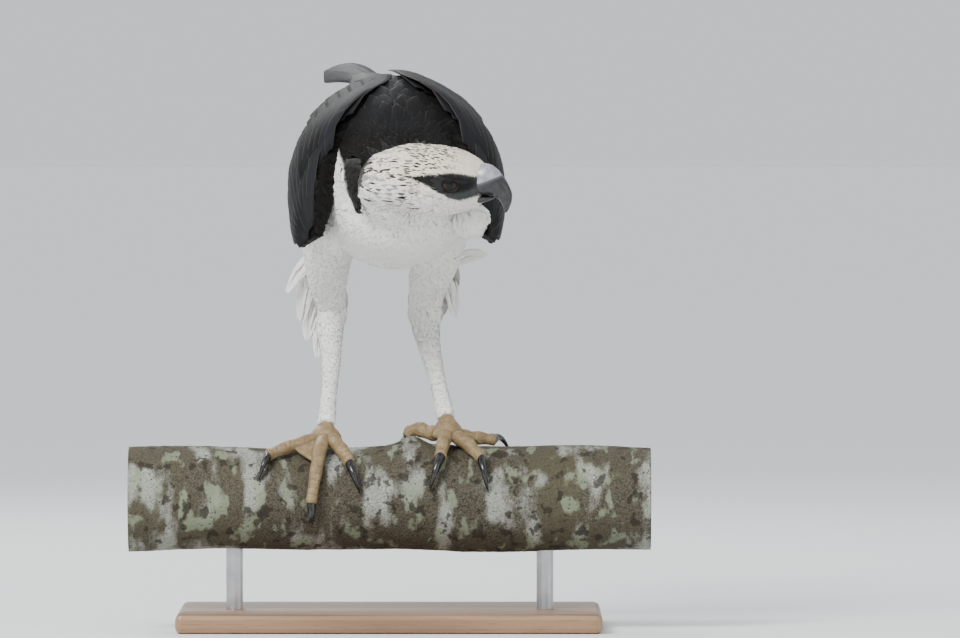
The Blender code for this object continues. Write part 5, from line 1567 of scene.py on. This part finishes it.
def heel_lock(side, share, turn, length):
    """Root, tip and outward way of a lock that hangs from the thigh."""
    sign = -1 if side == "right" else 1
    middle, ahead = leg_point(side, np.array([share, share + 0.02]))
    way = unit(ahead - middle)
    across = unit(np.array([sign, 0, 0]) - np.dot((sign, 0, 0), way) * way)
    back = np.cross(way, across)
    back = unit(back if back[1] > 0 else -back)
    angle = math.radians(turn - 90)
    out = unit(math.cos(angle) * across + math.sin(angle) * back)
    wide, deep = float(leg_size(LEG_HALF_WIDTHS, share)), float(leg_size(LEG_HALF_DEPTHS, share))
    reach = 1 / math.sqrt((np.dot(out, across) / wide) ** 2 + (np.dot(out, back) / deep) ** 2)
    end = min(share + length / 250.0, 0.72)
    tip = leg_point(side, np.array([end]))[0] + out * (float(leg_size(LEG_HALF_WIDTHS, end))
                                                       + 0.8) + (0, 3.0, -4.0)
    return middle + out * (reach - 4.0), tip, out


def lock_blades(root, tip, bend, flat_way, width, count, rows=10, columns=4):
    """Places of the blades of one lock, and the way that its broad side faces."""
    faces, u, v = blade_grid(rows, columns, 1.3)
    start = rng.random((count, 1)) ** 1.3 * 0.55
    end = np.minimum(start + 0.42 + 0.25 * rng.random((count, 1)), 1.0 - 0.05 * rng.random((count, 1)))
    t = start + (end - start) * v[None]
    centre = root + (tip - root) * t[..., None] + np.asarray(bend) * (4 * t * (1 - t))[..., None]
    way = unit(tip - root + np.asarray(bend) * (4 - 8 * t)[..., None])
    facing = unit(flat_way - way * (way @ np.asarray(flat_way, float))[..., None])
    across = np.cross(way, facing)
    room = np.interp(t, LOCK_TIMES, LOCK_SHAPE) * width / 2
    beside = (rng.random((count, 1)) * 2 - 1) * 0.86
    thick = (rng.random((count, 1)) - 0.5) * 2.2 + 1.2 * (1 - beside**2)
    half = (0.75 + 0.6 * rng.random((count, 1))) * feather_width(v, 0.5)[None]
    places = centre + across * (beside * room + u[None] * half)[..., None]
    lift = thick * np.sin(np.pi * np.clip(t, 0, 1)) - 0.12 * u[None] ** 2 * half
    places = places + facing * lift[..., None]
    return faces, places, u, v, facing


print("locks to a leg:", len(HEEL_LOCKS), "and", {side: len(tufts) for side, tufts in TUFTS.items()}, "tufts")

# %% [markdown]
# ## Laying the thigh feathers
#
# Each thigh's locks and tufts become one piece. They take the white of the belly, each blade a touch warmer
# or cooler.

# %% Thigh tufts
def patches_near(places):
    return skin_map[[skin_tree.find_nearest(p)[2] for p in places.tolist()]]


for sign, side in ((-1, "right"), (1, "left")):
    bundles = []
    for share, turn, length, width in HEEL_LOCKS:
        root, tip, out = heel_lock(side, share, turn, length)
        bundles.append((root, tip, out * 1.2, out, width, 60))
    for root, tip, width in TUFTS[side]:
        bundles.append((FEET + root, FEET + tip, (0, 0, 3), unit((0.3 * sign, -1, 0.2)), width, 30))
    made = []
    for root, tip, bend, facing, width, count in bundles:
        faces, places, u, v, outward = lock_blades(root, tip, bend, facing, width, count)
        colour = mix(WHITE, (0.74, 0.73, 0.68), rng.random(count))[:, None]
        vane = vane_of(count, u, v)
        patch = patches_near(places[:, 0])[:, None] + (vane - 0.5) * 0.003
        made.append(joined_blades("lock", places, faces, vane, patch, np.broadcast_to(colour, places.shape),
                                  np.zeros(places.shape), outward))
    tufts = joined(made, "thigh_tufts_" + side)
    tufts.data.materials.append(loose_feather)
    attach(tufts, "root")
    print(tufts.name, len(tufts.data.polygons) * 2, "triangles")

# %% [markdown]
# ## The bill
#
# The upper half is a hooked, laterally flattened cone that leaves the face under a grey, waxy cere, and the
# lower half is a short trough that closes against it. Sculpting would do, but the shape is plain enough for
# a loft: ovals along a curved middle line, each with its own height and width.

# %% The two halves of the bill
BILL = np.array([  # place and rise of the middle line, then half width, rise and drop of the oval
    (29.0, 1.8, 9.5, 13.2, 8.1), (35.0, 2.0, 9.2, 12.8, 8.3), (38.0, 1.6, 8.2, 11.4, 7.9),
    (42.0, 0.2, 7.0, 9.2, 6.6),
    (46.0, -2.6, 5.6, 7.2, 5.8), (49.2, -6.6, 4.2, 5.4, 4.8), (50.3, -10.6, 2.9, 3.6, 3.5),
    (50.4, -14.6, 1.6, 2.0, 2.0),
    (49.9, -17.4, 0.6, 0.7, 0.7),
], float)


def along_bill(steps):
    return smooth_points(np.arange(len(BILL)), BILL, np.asarray(steps) * (len(BILL) - 1))


BILL_SIDES = 40
rings, stations = [], along_bill(np.linspace(0, 1, 56))
turn = 2 * np.pi * (np.arange(BILL_SIDES) + 0.5) / BILL_SIDES
for i, (along, rise, width, top, bottom) in enumerate(stations):
    before, after = stations[max(i - 1, 0)], stations[min(i + 1, len(stations) - 1)]
    way = unit((after[0] - before[0]) * HEAD_FORWARD + (after[1] - before[1]) * HEAD_UP)
    ring = oval(from_head(along, 0, rise), HEAD_RIGHT, np.cross(HEAD_RIGHT, way), width, top, bottom,
                BILL_SIDES, 2.15)
    # The edge of the upper half stands over the lower one, with a small tooth near the hook
    share = i / (len(stations) - 1)
    edge = np.exp(-((np.abs(np.cos(turn)) - 0.72) / 0.16) ** 2) * (np.sin(turn) < 0)
    tooth = 0.9 * math.exp(-((share - 0.50) / 0.05) ** 2) - 0.7 * math.exp(-((share - 0.60) / 0.05) ** 2)
    ring += edge[:, None] * (tooth * unit(from_head(along, 0, rise - 1) - from_head(along, 0, rise)))
    ridge = np.exp(-((turn - np.pi / 2) / 0.22) ** 2) * 0.35 * (1 - share)
    ring += ridge[:, None] * np.cross(HEAD_RIGHT, way)
    cere = 0.5 * step_between(0.36, 0.30, np.array([share]))[0]
    ring += unit(ring - from_head(along, 0, rise)) * cere
    rings.append(ring)
upper_bill = finished("upper_bill", loft(rings))
rings = []
for share in np.linspace(0, 1, 30):
    along = 20.0 + 20.8 * share
    place = from_head(along, 0, -8.35 + 0.4 * share * share)
    rings.append(oval(place, HEAD_RIGHT, HEAD_UP, 7.8 * (1 - share**2.6) + 1.0, 1.2,
                      5.8 * (1 - share**1.8) + 0.8, 32, 2.3))
lower_bill = finished("lower_bill", loft(rings))
print("bill:", len(upper_bill.data.polygons) + len(lower_bill.data.polygons), "faces")

# %% [markdown]
# ## Nostrils, and where horn begins
#
# The nostril is a slanting slit, cut by a flat ball on both sides. Then each vertex stores how far it lies
# on the way from cere to tip, for the finish to read.

# %% Nostrils and the horn's border
def give_value(piece, title, values):
    layer = piece.data.attributes.new(title, "FLOAT", "POINT")
    layer.data.foreach_set("value", np.asarray(values, np.float32))


slit = (unit(HEAD_FORWARD + 0.7 * HEAD_UP), HEAD_RIGHT, unit(HEAD_UP - 0.7 * HEAD_FORWARD))
for side in (-1, 1):
    cutter = finished("nostril", ball(from_head(37.0, side * 9.4, 4.6), slit, (2.3, 2.4, 1.15), 24, 14))
    cut = upper_bill.modifiers.new("nostril", "BOOLEAN")
    cut.operation, cut.object, cut.solver = "DIFFERENCE", cutter, "EXACT"
    settle(upper_bill)
    bpy.data.objects.remove(cutter)
for name, piece in (("upper", upper_bill), ("lower", lower_bill)):
    ahead, _, rise = to_head(spots_of(piece))
    if name == "upper":
        tipward = step_between(0, 1, (ahead - 41.0 + 2.2 * (8 - rise)) / 10.0)
    else:
        tipward = step_between(26, 32, ahead)
    give_value(piece, "Horn", tipward)
    piece.data.shade_smooth()
print("nostrils cut")

# %% [markdown]
# ## Horn and cere
#
# The cere is bare, waxy skin of a pale blue-grey, which passes through lead grey into black horn. Two
# blends along the stored number do this, and noise pushes the border to and fro.

# %% Horn and cere
bill_horn = Finish("bill_horn", 0.28, Coat_Weight=0.25, Coat_Roughness=0.2)
horn_share = bill_horn.attribute("Horn", out=2)
cloud = bill_horn.noise(260.0, 4.0)
grain = bill_horn.noise(1800.0, 3.0)
cere_skin = bill_horn.fade(0.35, 0.65, cloud, (0.22, 0.22, 0.245), (0.33, 0.325, 0.36))
dark_horn = bill_horn.fade(0.35, 0.70, cloud, (0.007, 0.0075, 0.008), (0.020, 0.021, 0.023))
border = bill_horn.math("MULTIPLY_ADD", cloud, 0.3, horn_share)
waxy = bill_horn.fade(0.25, 0.60, border, cere_skin, (0.050, 0.054, 0.060))
bill_horn.colour(bill_horn.fade(0.70, 1.15, border, waxy, dark_horn))
bill_horn.rough(grain, 0.22, 0.24)
bill_horn.bump(bill_horn.math("ADD", bill_horn.times(cloud, 2.0), grain), 0.25, 0.0002)
for piece, node in ((upper_bill, "bill_upper"), (lower_bill, "bill_lower")):
    piece.data.materials.append(bill_horn.material)
    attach(piece, "root")
    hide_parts(node)

# %% [markdown]
# ## Eyes and lids
#
# The eye is a glossy ball that sits deep under the brow. Seen from outside it is a near-black brown iris,
# painted that dark as shade from the brow over it, round a black pupil, and both are drawn by the distance
# from the ball's foremost point, so no picture is needed. A clear coat over it gives the wet glint.

# %% Eyeballs
EYEBALL_RADIUS, LID_RADIUS = 7.5, 7.7


def eye_facts(side):
    middle = from_head(EYE_ALONG, side * (EYE_SIDE - 1.3), EYE_RISE)
    return middle, unit(HEAD_RIGHT * side + 0.30 * HEAD_FORWARD)


iris_look = Finish("iris", 0.35, Specular_IOR_Level=0.1, Coat_Weight=0.3, Coat_Roughness=0.03)
off_front = iris_look.attribute("Off", out=2)
fleck = iris_look.noise(1500.0, 3.0)
# The iris is painted near-black brown, as shade from the brow over it
iris_brown_in_shade = iris_look.fade(0.35, 0.65, fleck, (0.010, 0.006, 0.004), (0.024, 0.014, 0.008))
iris_rim = iris_look.fade(0.62, 0.72, off_front, iris_brown_in_shade, (0.010, 0.007, 0.005))
iris_look.colour(iris_look.fade(0.33, 0.37, off_front, (0.0015, 0.0015, 0.0015), iris_rim))
for side, name in ((1, "right"), (-1, "left")):
    middle, front = eye_facts(side)
    across = unit(np.cross(front, HEAD_UP))
    eye = finished("eyeball_" + name, ball(middle, (across, np.cross(across, front), front),
                                           (EYEBALL_RADIUS,) * 3, 48, 32))
    give_value(eye, "Off", np.arccos(np.clip(unit(spots_of(eye) - middle) @ front, -1, 1)))
    eye.data.materials.append(iris_look.material)
    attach(eye, "root")
    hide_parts("eye_" + name)
print("eyes ready")

# %% [markdown]
# ## The lids' rim
#
# The opening is an almond, and its upper rim is straighter and thicker than the lower. Cutting it out of a
# ball would do, but a tube is simpler: small rings of points round the opening, bridged to a closed band.

# %% Lids
LID_SIDES = 10
lid_skin = Finish("lid_skin", 0.6, Specular_IOR_Level=0.15)
lid_grain = lid_skin.noise(1600.0, 3.0)
lid_skin.colour(lid_skin.fade(0.3, 0.7, lid_grain, (0.003, 0.0028, 0.0028), (0.009, 0.0085, 0.0085)))
lid_skin.bump(lid_grain, 0.4, 0.0002)
for side, name in ((1, "right"), (-1, "left")):
    middle, front = eye_facts(side)
    forward = unit(HEAD_FORWARD - np.dot(HEAD_FORWARD, front) * front)
    upward = unit(np.cross(front, forward) * side)
    loops = []
    for a in np.linspace(0, 2 * np.pi, 56, endpoint=False):
        out = math.cos(a) * forward + math.sin(a) * upward
        high = math.sin(a)
        opening = 0.60 - 0.30 * max(high, 0) ** 1.5 - 0.16 * max(-high, 0) + 0.14 * abs(math.cos(a)) ** 5
        rim = middle + LID_RADIUS * (math.cos(opening) * front + math.sin(opening) * out)
        thick = 0.32 + 0.55 * max(high, 0)
        normal = unit(rim - middle)
        side_way = unit(np.cross(normal, np.cross(normal, out)))
        turns = np.linspace(0, 2 * np.pi, LID_SIDES, endpoint=False)
        start = rim - side_way * 0.3
        loops.append([start + thick * (math.cos(t) * normal * 0.85 - math.sin(t) * side_way * 1.5)
                      for t in turns])
    ring = bmesh.new()
    edges = []
    for loop in loops:
        verts = [ring.verts.new(p * MM) for p in loop]
        edges.append([ring.edges.new((verts[i - 1], verts[i])) for i in range(LID_SIDES)])
    for before, after in zip(edges, edges[1:] + edges[:1]):
        bmesh.ops.bridge_loops(ring, edges=before + after)
    bmesh.ops.recalc_face_normals(ring, faces=ring.faces)
    lids = finished("lids_" + name, ring, lid_skin.material)
    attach(lids, "root")
print("lids ready")

# %% [markdown]
# ## The branch
#
# The perch is a short cut from a thick living limb, with a bulging knot where a flake of bark has peeled. A
# cylinder with bump would look smooth in outline. So the round shape is a loft with many rings, and the
# larger relief is real mesh.

# %% Bark relief
KNOT_X, KNOT_ANGLE, KNOT_RISE, KNOT_SPREAD = 16.0, -8.0, 7.0, 11.0


def bark_radius(x, angle):
    turn = np.radians(angle)
    uneven = 0.9 * np.sin(0.021 * x + 2 * turn) + 0.7 * np.sin(0.047 * x - turn + 1.3)
    beside = PERCH_RADIUS * np.radians(angle - KNOT_ANGLE) / KNOT_SPREAD
    reach = ((x - KNOT_X) / KNOT_SPREAD) ** 2 + beside**2
    return PERCH_RADIUS - 1.6 + uneven + KNOT_RISE * np.exp(-reach)


def on_bark(x, angle, off):
    """A place off the bark, at an angle forward from the branch's top."""
    x, angle, off = np.broadcast_arrays(*(np.asarray(v, float) for v in (x, angle, off)))
    radius, turn = bark_radius(x, angle) + off, np.radians(angle)
    return np.stack([x, PERCH_Y - radius * np.sin(turn), PERCH_AXIS_Z + radius * np.cos(turn)], axis=-1)


SIDES, RINGS = 190, 260
angles = 360.0 * (np.arange(SIDES) + 0.5) / SIDES
angles = np.where(angles > 180, angles - 360, angles)
branch_x = PERCH_LENGTH * (np.arange(RINGS) / (RINGS - 1) - 0.5)
rings = []
for x in branch_x:
    spots = on_bark(x, angles, 0.0)
    ridges = 0.34 * wobble(spots * (0.35, 1, 1), 7.0, 3.0) + 0.22 * wobble(spots * (2.2, 0.7, 0.7), 5.0, 9.0)
    flake = 1.3 * step_between(0.15, 0.30, wobble(spots, 24.0, 20.0)) * step_between(46, 26, abs(x - 14))
    rings.append(on_bark(x, angles, ridges - 0.25 + flake * step_between(80, 40, np.abs(angles + 6))))
branch_shape = loft(rings)
print("bark rings:", len(rings))

# %% [markdown]
# ## Sawing the ends
#
# A saw leaves a flat face with a sharp edge. The loft's own caps are huge polygons that shade badly, so
# rings of quads that close in on the pith replace them.

# %% Cut ends
def saw(shape, end):
    """Turns an end of the branch into a sawn face, with rings of quads that close in on its middle."""
    loop, middle = list(end.verts), end.calc_center_median()
    offs, inward = [v.co - middle for v in loop], Vector((-math.copysign(0.8 * MM, middle.x), 0, 0))
    shape.faces.remove(end)
    for share in (0.945, 0.85, 0.6, 0.3):
        inner = [shape.verts.new(middle + off * share + inward) for off in offs]
        for k in range(len(loop)):
            shape.faces.new((loop[k - 1], loop[k], inner[k], inner[k - 1]))
        loop = inner
    pith = shape.verts.new(middle + inward)
    for k in range(len(loop)):
        shape.faces.new((loop[k - 1], loop[k], pith))


for end in sorted(branch_shape.faces, key=lambda f: -len(f.verts))[:2]:
    saw(branch_shape, end)
branch = finished("branch", branch_shape)
print("branch:", len(branch.data.polygons), "faces")

# %% [markdown]
# ## Bark and lichen
#
# The bark's colours come in layers, as in life: bare bark, a film of algae, chalky lichen stretched up and
# down, smaller green-grey lichen, dark scars and pits. Each is a noise of its own size, cut off where the
# layer ends.

# %% Bark and lichen
bark = Finish("bark", 0.9, Specular_IOR_Level=0.25)
spot = bark.object_place()
fine, broad = bark.noise(900.0, 6.0, spot), bark.noise(15.0, 4.0, spot)
patchy = bark.noise(46.0, 7.0, bark.mapped((1.0, 0.45, 0.45)))
bare = bark.fade(0.32, 0.62, fine, (0.030, 0.026, 0.018), (0.088, 0.078, 0.055))
bare = bark.film(0.42, 0.62, broad, 0.55, bare, (0.075, 0.068, 0.040))
chalk = bark.fade(0.3, 0.7, fine, (0.19, 0.20, 0.175), (0.40, 0.41, 0.37))
bare = bark.film(0.49, 0.61, patchy, 0.85, bare, chalk)
second = bark.noise(82.0, 6.0, bark.mapped((1.0, 0.6, 0.6), (0.3, 0.1, 0.2)))
bare = bark.film(0.55, 0.63, second, 0.7, bare, (0.21, 0.245, 0.165))
third = bark.noise(120.0, 5.0, bark.mapped((1.0, 0.8, 0.8), (0.7, 0.5, 0.1)))
bare = bark.film(0.57, 0.63, third, 0.8, bare, (0.022, 0.018, 0.013))
pits = bark.node("ShaderNodeTexVoronoi", spot, None, 260.0, out=0)
bare = bark.fade(0.20, 0.08, pits, bare, (0.045, 0.034, 0.027))
bark.colour(bare)
relief = bark.math("ADD", bark.times(patchy, 2.2),
                   bark.math("ADD", fine, bark.times(bark.ramp(0.1, 0.4, pits), 0.6)))
bark.bump(relief, 0.7, 0.0011)
print("bark ready")

# %% [markdown]
# ## Cut wood
#
# Year rings are circles round the pith. The distance from the branch's middle, bent by a little noise, goes
# into a sine wave, whose bands are early and late wood.

# %% Cut wood
CUT_RADIUS = 0.0355
cut_wood = Finish("cut_wood", 0.72)
centre = cut_wood.parts(cut_wood.mapped(move=(0, -PERCH_Y * MM, -PERCH_AXIS_Z * MM)))
far = cut_wood.math("SQRT", cut_wood.math("ADD", cut_wood.times(centre[1], centre[1]),
                                          cut_wood.times(centre[2], centre[2])))
uneven = cut_wood.math("MULTIPLY_ADD", cut_wood.noise(60.0, 3.0), 0.006, far)
circles = cut_wood.math("SINE", cut_wood.times(uneven, 3600.0))
wood = cut_wood.fade(-0.9, 0.9, circles, (0.30, 0.21, 0.125), (0.46, 0.35, 0.22))
wood = cut_wood.fade(0.016, 0.004, far, wood, (0.22, 0.135, 0.075))
saw_marks = cut_wood.noise(1400.0, 3.0)
cut_wood.colour(cut_wood.fade(0.55, 0.8, saw_marks, wood, (0.18, 0.12, 0.08)))
cut_wood.bump(cut_wood.math("ADD", circles, cut_wood.times(saw_marks, 3.0)), 0.4, 0.0003)
branch.data.materials.append(bark.material)
branch.data.materials.append(cut_wood.material)
for face in branch.data.polygons:
    face.material_index = int(abs(face.normal.x) > 0.9 and abs(face.center.x) > (PERCH_LENGTH / 2 - 1.4) * MM
                              and math.hypot(face.center.y - PERCH_Y * MM,
                                             face.center.z - PERCH_AXIS_Z * MM) < CUT_RADIUS)
    face.use_smooth = abs(face.normal.x) < 0.9
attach(branch, "root")
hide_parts("perch")
print("cut faces:", sum(face.material_index for face in branch.data.polygons))

# %% [markdown]
# ## Feet that grip
#
# A foot is a hub under the leg and four toes that wrap the branch: three forward, one back. Each toe is a
# tube that swells a little at its joints. Its line is found from the bark, so it rests on the wood.

# %% Where the toes lie
TOES = {  # toe: place along the branch and angle forward from its top of its end, then of its claw's tip
    "right": {1: (-37, -50, -35, -84), 2: (-28, 52, -20, 84), 3: (-55, 92, -55, 120), 4: (-86, 41, -93, 70)},
    "left": {1: (13, -16, 2, -52), 2: (36, 45, 28, 81), 3: (65, 45, 70, 82), 4: (74, -6, 86, -30)},
}
TOE_RADII, CLAW_RADII = {1: 6.2, 2: 6.0, 3: 5.6, 4: 5.4}, {1: 4.3, 2: 4.1, 3: 3.7, 4: 3.3}
TOE_STEPS, TOE_SIDES = 72, 28


def toe_frame(middles):
    """The way along a toe and the way out from the branch at each of its rings."""
    ways = unit(np.gradient(middles, axis=0))
    outward = middles - np.stack([middles[:, 0], np.full(len(middles), PERCH_Y),
                                  np.full(len(middles), PERCH_AXIS_Z)], axis=1)
    return ways, unit(outward - (outward * ways).sum(axis=1, keepdims=True) * ways)


def hub_of(side):
    """Where the toes meet: a place along the branch and an angle forward from its top."""
    above, foot = leg_point(side, np.array([0.97, 1.0]))
    way = unit(foot - above)
    angle = -math.degrees(math.atan2(foot[1] + way[1] * 5 - PERCH_Y, foot[2] + way[2] * 5 - PERCH_AXIS_Z))
    return foot[0] + way[0] * 6, angle


def toe_line(side, number, s):
    """Middle and plain size of a toe at shares of its length."""
    (end_x, end_angle), (hub_x, hub_angle) = TOES[side][number][:2], hub_of(side)
    x = hub_x + (end_x - hub_x) * (0.06 + 0.94 * s)
    angle = hub_angle + (end_angle - hub_angle) * (0.02 + 0.98 * s)
    size = TOE_RADII[number] * (1.0 + 0.035 * np.cos(6 * np.pi * s) - 0.26 * s)
    return on_bark(x, angle, size + 0.5 + 2.6 * (1 - s) ** 1.5), size


print("hubs:", {side: np.round(hub_of(side), 1).tolist() for side in TOES})

# %% [markdown]
# ## Plates, pads and the hub
#
# The far half of a toe carries broad, horny plates on top, and each joint a soft pad below. They show in
# outline, so they are real relief. Tubes, hub and a web of skin are fused, as the skin was.

# %% Toes and hubs
def toe_shape(side, number):
    s = np.linspace(0, 1, TOE_STEPS)
    middles, size = toe_line(side, number, s)
    ways, outward = toe_frame(middles)
    turn = 2 * np.pi * (np.arange(TOE_SIDES) + 0.5) / TOE_SIDES
    count = 13 if number in (3, 4) else 10
    phase = (s * count) % 1.0
    plate = np.sqrt(np.clip(1 - (2 * np.clip(phase / 0.86, 0, 1) - 1) ** 6, 0, 1))
    plate = plate * step_between(0.40, 0.62, s)
    top, under = np.clip(np.sin(turn), 0, 1), np.clip(-np.sin(turn), 0, 1)
    cover = step_between(0.35, 0.72, top)
    rings = []
    for i in range(TOE_STEPS):
        pads = 0.75 * (0.5 + 0.5 * np.cos(6 * np.pi * s[i])) * step_between(0.4, 0.9, under)
        ring = oval(middles[i], np.cross(ways[i], outward[i]), outward[i], size[i], size[i], size[i] * 0.96,
                    TOE_SIDES)
        grown = cover * (0.75 * plate[i] - 0.15) + pads - 0.25
        rings.append(ring + unit(ring - middles[i]) * grown[:, None])
    last, way = rings[-1], ways[-1]
    for bend in (0.5 * math.pi / 2, 0.8 * math.pi / 2, 0.96 * math.pi / 2):
        forth = way * size[-1] * 0.42 * math.sin(bend)
        rings.append(middles[-1] + forth + (last - middles[-1]) * math.cos(bend * 0.92))
    return loft(rings)


def foot_shape(side):
    """The hub between shin and toes."""
    shin, foot = leg_point(side, np.array([0.975, 1.0]))
    sole, middle = (on_bark(*hub_of(side), off) for off in (4.6, 8.4))
    keys = [shin, foot, (foot + middle) / 2, middle, middle * 0.4 + sole * 0.6, sole]
    steps = np.linspace(0, 1, 26)
    line = smooth_points(np.linspace(0, 1, 6), keys, steps)
    widths = smooth(np.linspace(0, 1, 6), (3.6, 5.4, 9.0, 11.4, 10.8, 6.3), steps)
    return tube(line, widths, widths * 0.97, (1, 0, 0), 36)


feet = {}
for side in ("right", "left"):
    shapes = [foot_shape(side)] + [toe_shape(side, number) for number in TOES[side]]
    # A web of skin joins the third toe and the fourth
    for share in np.linspace(0.10, 0.50, 9):
        third, fourth = (toe_line(side, toe, np.array([share]))[0][0] for toe in (3, 4))
        web = unit(third - fourth)
        up = np.array([0, 0, 1.0]) - web[2] * web
        shapes.append(ball((third + fourth) / 2 - (0, 0, 1.0), (web, unit(np.cross(web, up)), unit(up)),
                           (np.linalg.norm(third - fourth) / 2 + 1, 3.8, 2.3)))
    feet[side] = fuse("foot_skin_" + side, shapes, 0.62, 2, 0.35)
    print(side, "foot:", len(feet[side].data.polygons), "faces")

# %% [markdown]
# ## Skin of the feet
#
# The feet are tan, with pebbled skin between the plates, and darker in the creases. Voronoi cells are the
# pebbles. How hollow the mesh is at each vertex is measured and stored, and darkens it.

# %% Skin of the feet
toe_skin = Finish("toe_skin", 0.5, Subsurface_Weight=0.08, Subsurface_Scale=0.002)
toe_skin.shader.inputs["Subsurface Radius"].default_value = (1.0, 0.45, 0.25)
spot = toe_skin.object_place()
pebbles = toe_skin.node("ShaderNodeTexVoronoi", spot, None, 620.0, out=0)
gaps = toe_skin.ramp(0.62, 0.32, pebbles)
broad, fine = toe_skin.noise(150.0, 4.0, spot), toe_skin.noise(1500.0, 3.0, spot)
tan = toe_skin.fade(0.35, 0.68, broad, (0.200, 0.135, 0.062), (0.310, 0.225, 0.108))
tan = toe_skin.film(0.55, 0.75, fine, 0.5, tan, (0.150, 0.098, 0.048))
# Darker where the mesh is hollow, in the creases
crease_darkening = toe_skin.attribute("Crease", out=2)
tan = toe_skin.blend(toe_skin.times(crease_darkening, 0.8), tan, (0.090, 0.055, 0.026))
toe_skin.colour(toe_skin.blend(toe_skin.times(toe_skin.math("SUBTRACT", 1.0, gaps), 0.35), tan,
                               (0.135, 0.086, 0.040)))
toe_skin.bump(toe_skin.math("ADD", gaps, toe_skin.times(fine, 0.5)), 0.45, 0.0004)
for side, foot in feet.items():
    shape = bmesh.new()
    shape.from_mesh(foot.data)
    hollow = np.array([np.mean([(n.other_vert(v).co - v.co).dot(v.normal) for n in v.link_edges])
                       for v in shape.verts])
    shape.free()
    give_value(foot, "Crease", np.clip(hollow / (0.045 * MM), 0, 1))
    foot.data.materials.append(toe_skin.material)
    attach(foot, "root")
    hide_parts("foot_" + side)
print("feet ready")

# %% [markdown]
# ## Talons
#
# A claw is a curved, tapering horn that is rounder above than below. It leaves a collar of skin at the
# toe's end, arches clear of the bark and comes down to it. A loft along that arc gives it, with enough
# rings for a clean curve, and a dark, polished horn finish with faint growth lines along it.

# %% Claws
claw_horn = Finish("claw_horn", 0.22, Coat_Weight=0.3, Coat_Roughness=0.12)
lines = claw_horn.noise(900.0, 3.0, claw_horn.mapped((1, 0.5, 0.5)))
claw_horn.colour(claw_horn.fade(0.4, 0.75, lines, (0.004, 0.004, 0.0045), (0.016, 0.015, 0.015)))
claw_horn.rough(lines, 0.25, 0.13)
claw_horn.bump(lines, 0.2, 0.0002)


def claw_shape(side, number):
    _, end_angle, claw_x, claw_angle = TOES[side][number]
    middles, size = toe_line(side, number, np.array([0.875, 1.0]))
    way = unit(middles[1] - middles[0])
    start, start_off = middles[1] - way * 1.2, size[1] + 0.5
    s = np.linspace(0, 1, 40)
    radius = CLAW_RADII[number] * (1 - s) ** 0.8 + 0.30
    x = start[0] + (claw_x - start[0]) * s
    angle = end_angle + (claw_angle - end_angle) * (0.08 + 0.92 * s)
    off = np.maximum(start_off * (1 - s) + 4.6 * np.sin(np.pi * np.minimum(1.0, s * 1.05)), radius + 0.6)
    path = on_bark(x, angle, off)
    lead = step_between(0.0, 0.16, s)[:, None]
    path = (start + way * (s * 26.0)[:, None]) * (1 - lead) + path * lead
    ways, outward = toe_frame(path)
    return loft([oval(path[i], np.cross(ways[i], outward[i]), outward[i], radius[i] * 0.84, radius[i],
                      radius[i] * 0.9, 20, 2.0) for i in range(len(s))])


for side in TOES:
    for number in TOES[side]:
        claw = finished(f"talon_{side}_{number}", claw_shape(side, number), claw_horn.material)
        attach(claw, "root")
        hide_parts(f"claw_{side}_{number}")
print("talons ready")

# %% [markdown]
# ## The display stand
#
# The stand is a plain board with two steel rods. Its solids already have the right shape, so they keep
# their meshes and only get finishes: long-grained, oiled wood that is a little lighter along its worn
# edges, and brushed steel with fine lines round the rod.

# %% Wood and steel
stand_wood = Finish("stand_wood", 0.42, Coat_Weight=0.15, Coat_Roughness=0.35)
long_way = stand_wood.mapped((0.09, 1.0, 1.0))
warp = stand_wood.noise(9.0, 3.0, long_way)
across_grain = stand_wood.math("MULTIPLY_ADD", warp, 0.10, stand_wood.parts(long_way)[1])
bands = stand_wood.math("SINE", stand_wood.times(across_grain, 520.0))
pores = stand_wood.noise(1300.0, 3.0, stand_wood.mapped((0.03, 1.0, 1.0)))
board = stand_wood.fade(-1.0, 1.0, bands, (0.145, 0.075, 0.036), (0.245, 0.140, 0.072))
board = stand_wood.film(0.56, 0.70, pores, 0.7, board, (0.065, 0.033, 0.017))
edge = stand_wood.node("ShaderNodeNewGeometry", out=7)  # how far the surface points outwards
board = stand_wood.film(0.53, 0.60, edge, 0.4, board, (0.36, 0.23, 0.13))
stand_wood.colour(board)
stand_wood.rough(pores, 0.25, 0.32)
stand_wood.bump(stand_wood.math("ADD", bands, stand_wood.times(pores, 3.0)), 0.12, 0.0002)
brushed = Finish("brushed_steel", 0.34, Metallic=1.0)
turned = brushed.noise(700.0, 2.0, brushed.mapped((0.12, 0.12, 3.0)))
smudge = brushed.noise(70.0, 4.0)
brushed.colour(brushed.fade(0.3, 0.7, smudge, (0.42, 0.42, 0.43), (0.58, 0.58, 0.59)))
brushed.rough(turned, 0.30, 0.20)
brushed.bump(turned, 0.15, 0.0001)
for name, finish in (("stand_base", stand_wood), ("stand_rod_left", brushed), ("stand_rod_right", brushed)):
    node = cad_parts[name]
    node.data.materials.clear()
    node.data.materials.append(finish.material)
print("stand finished")
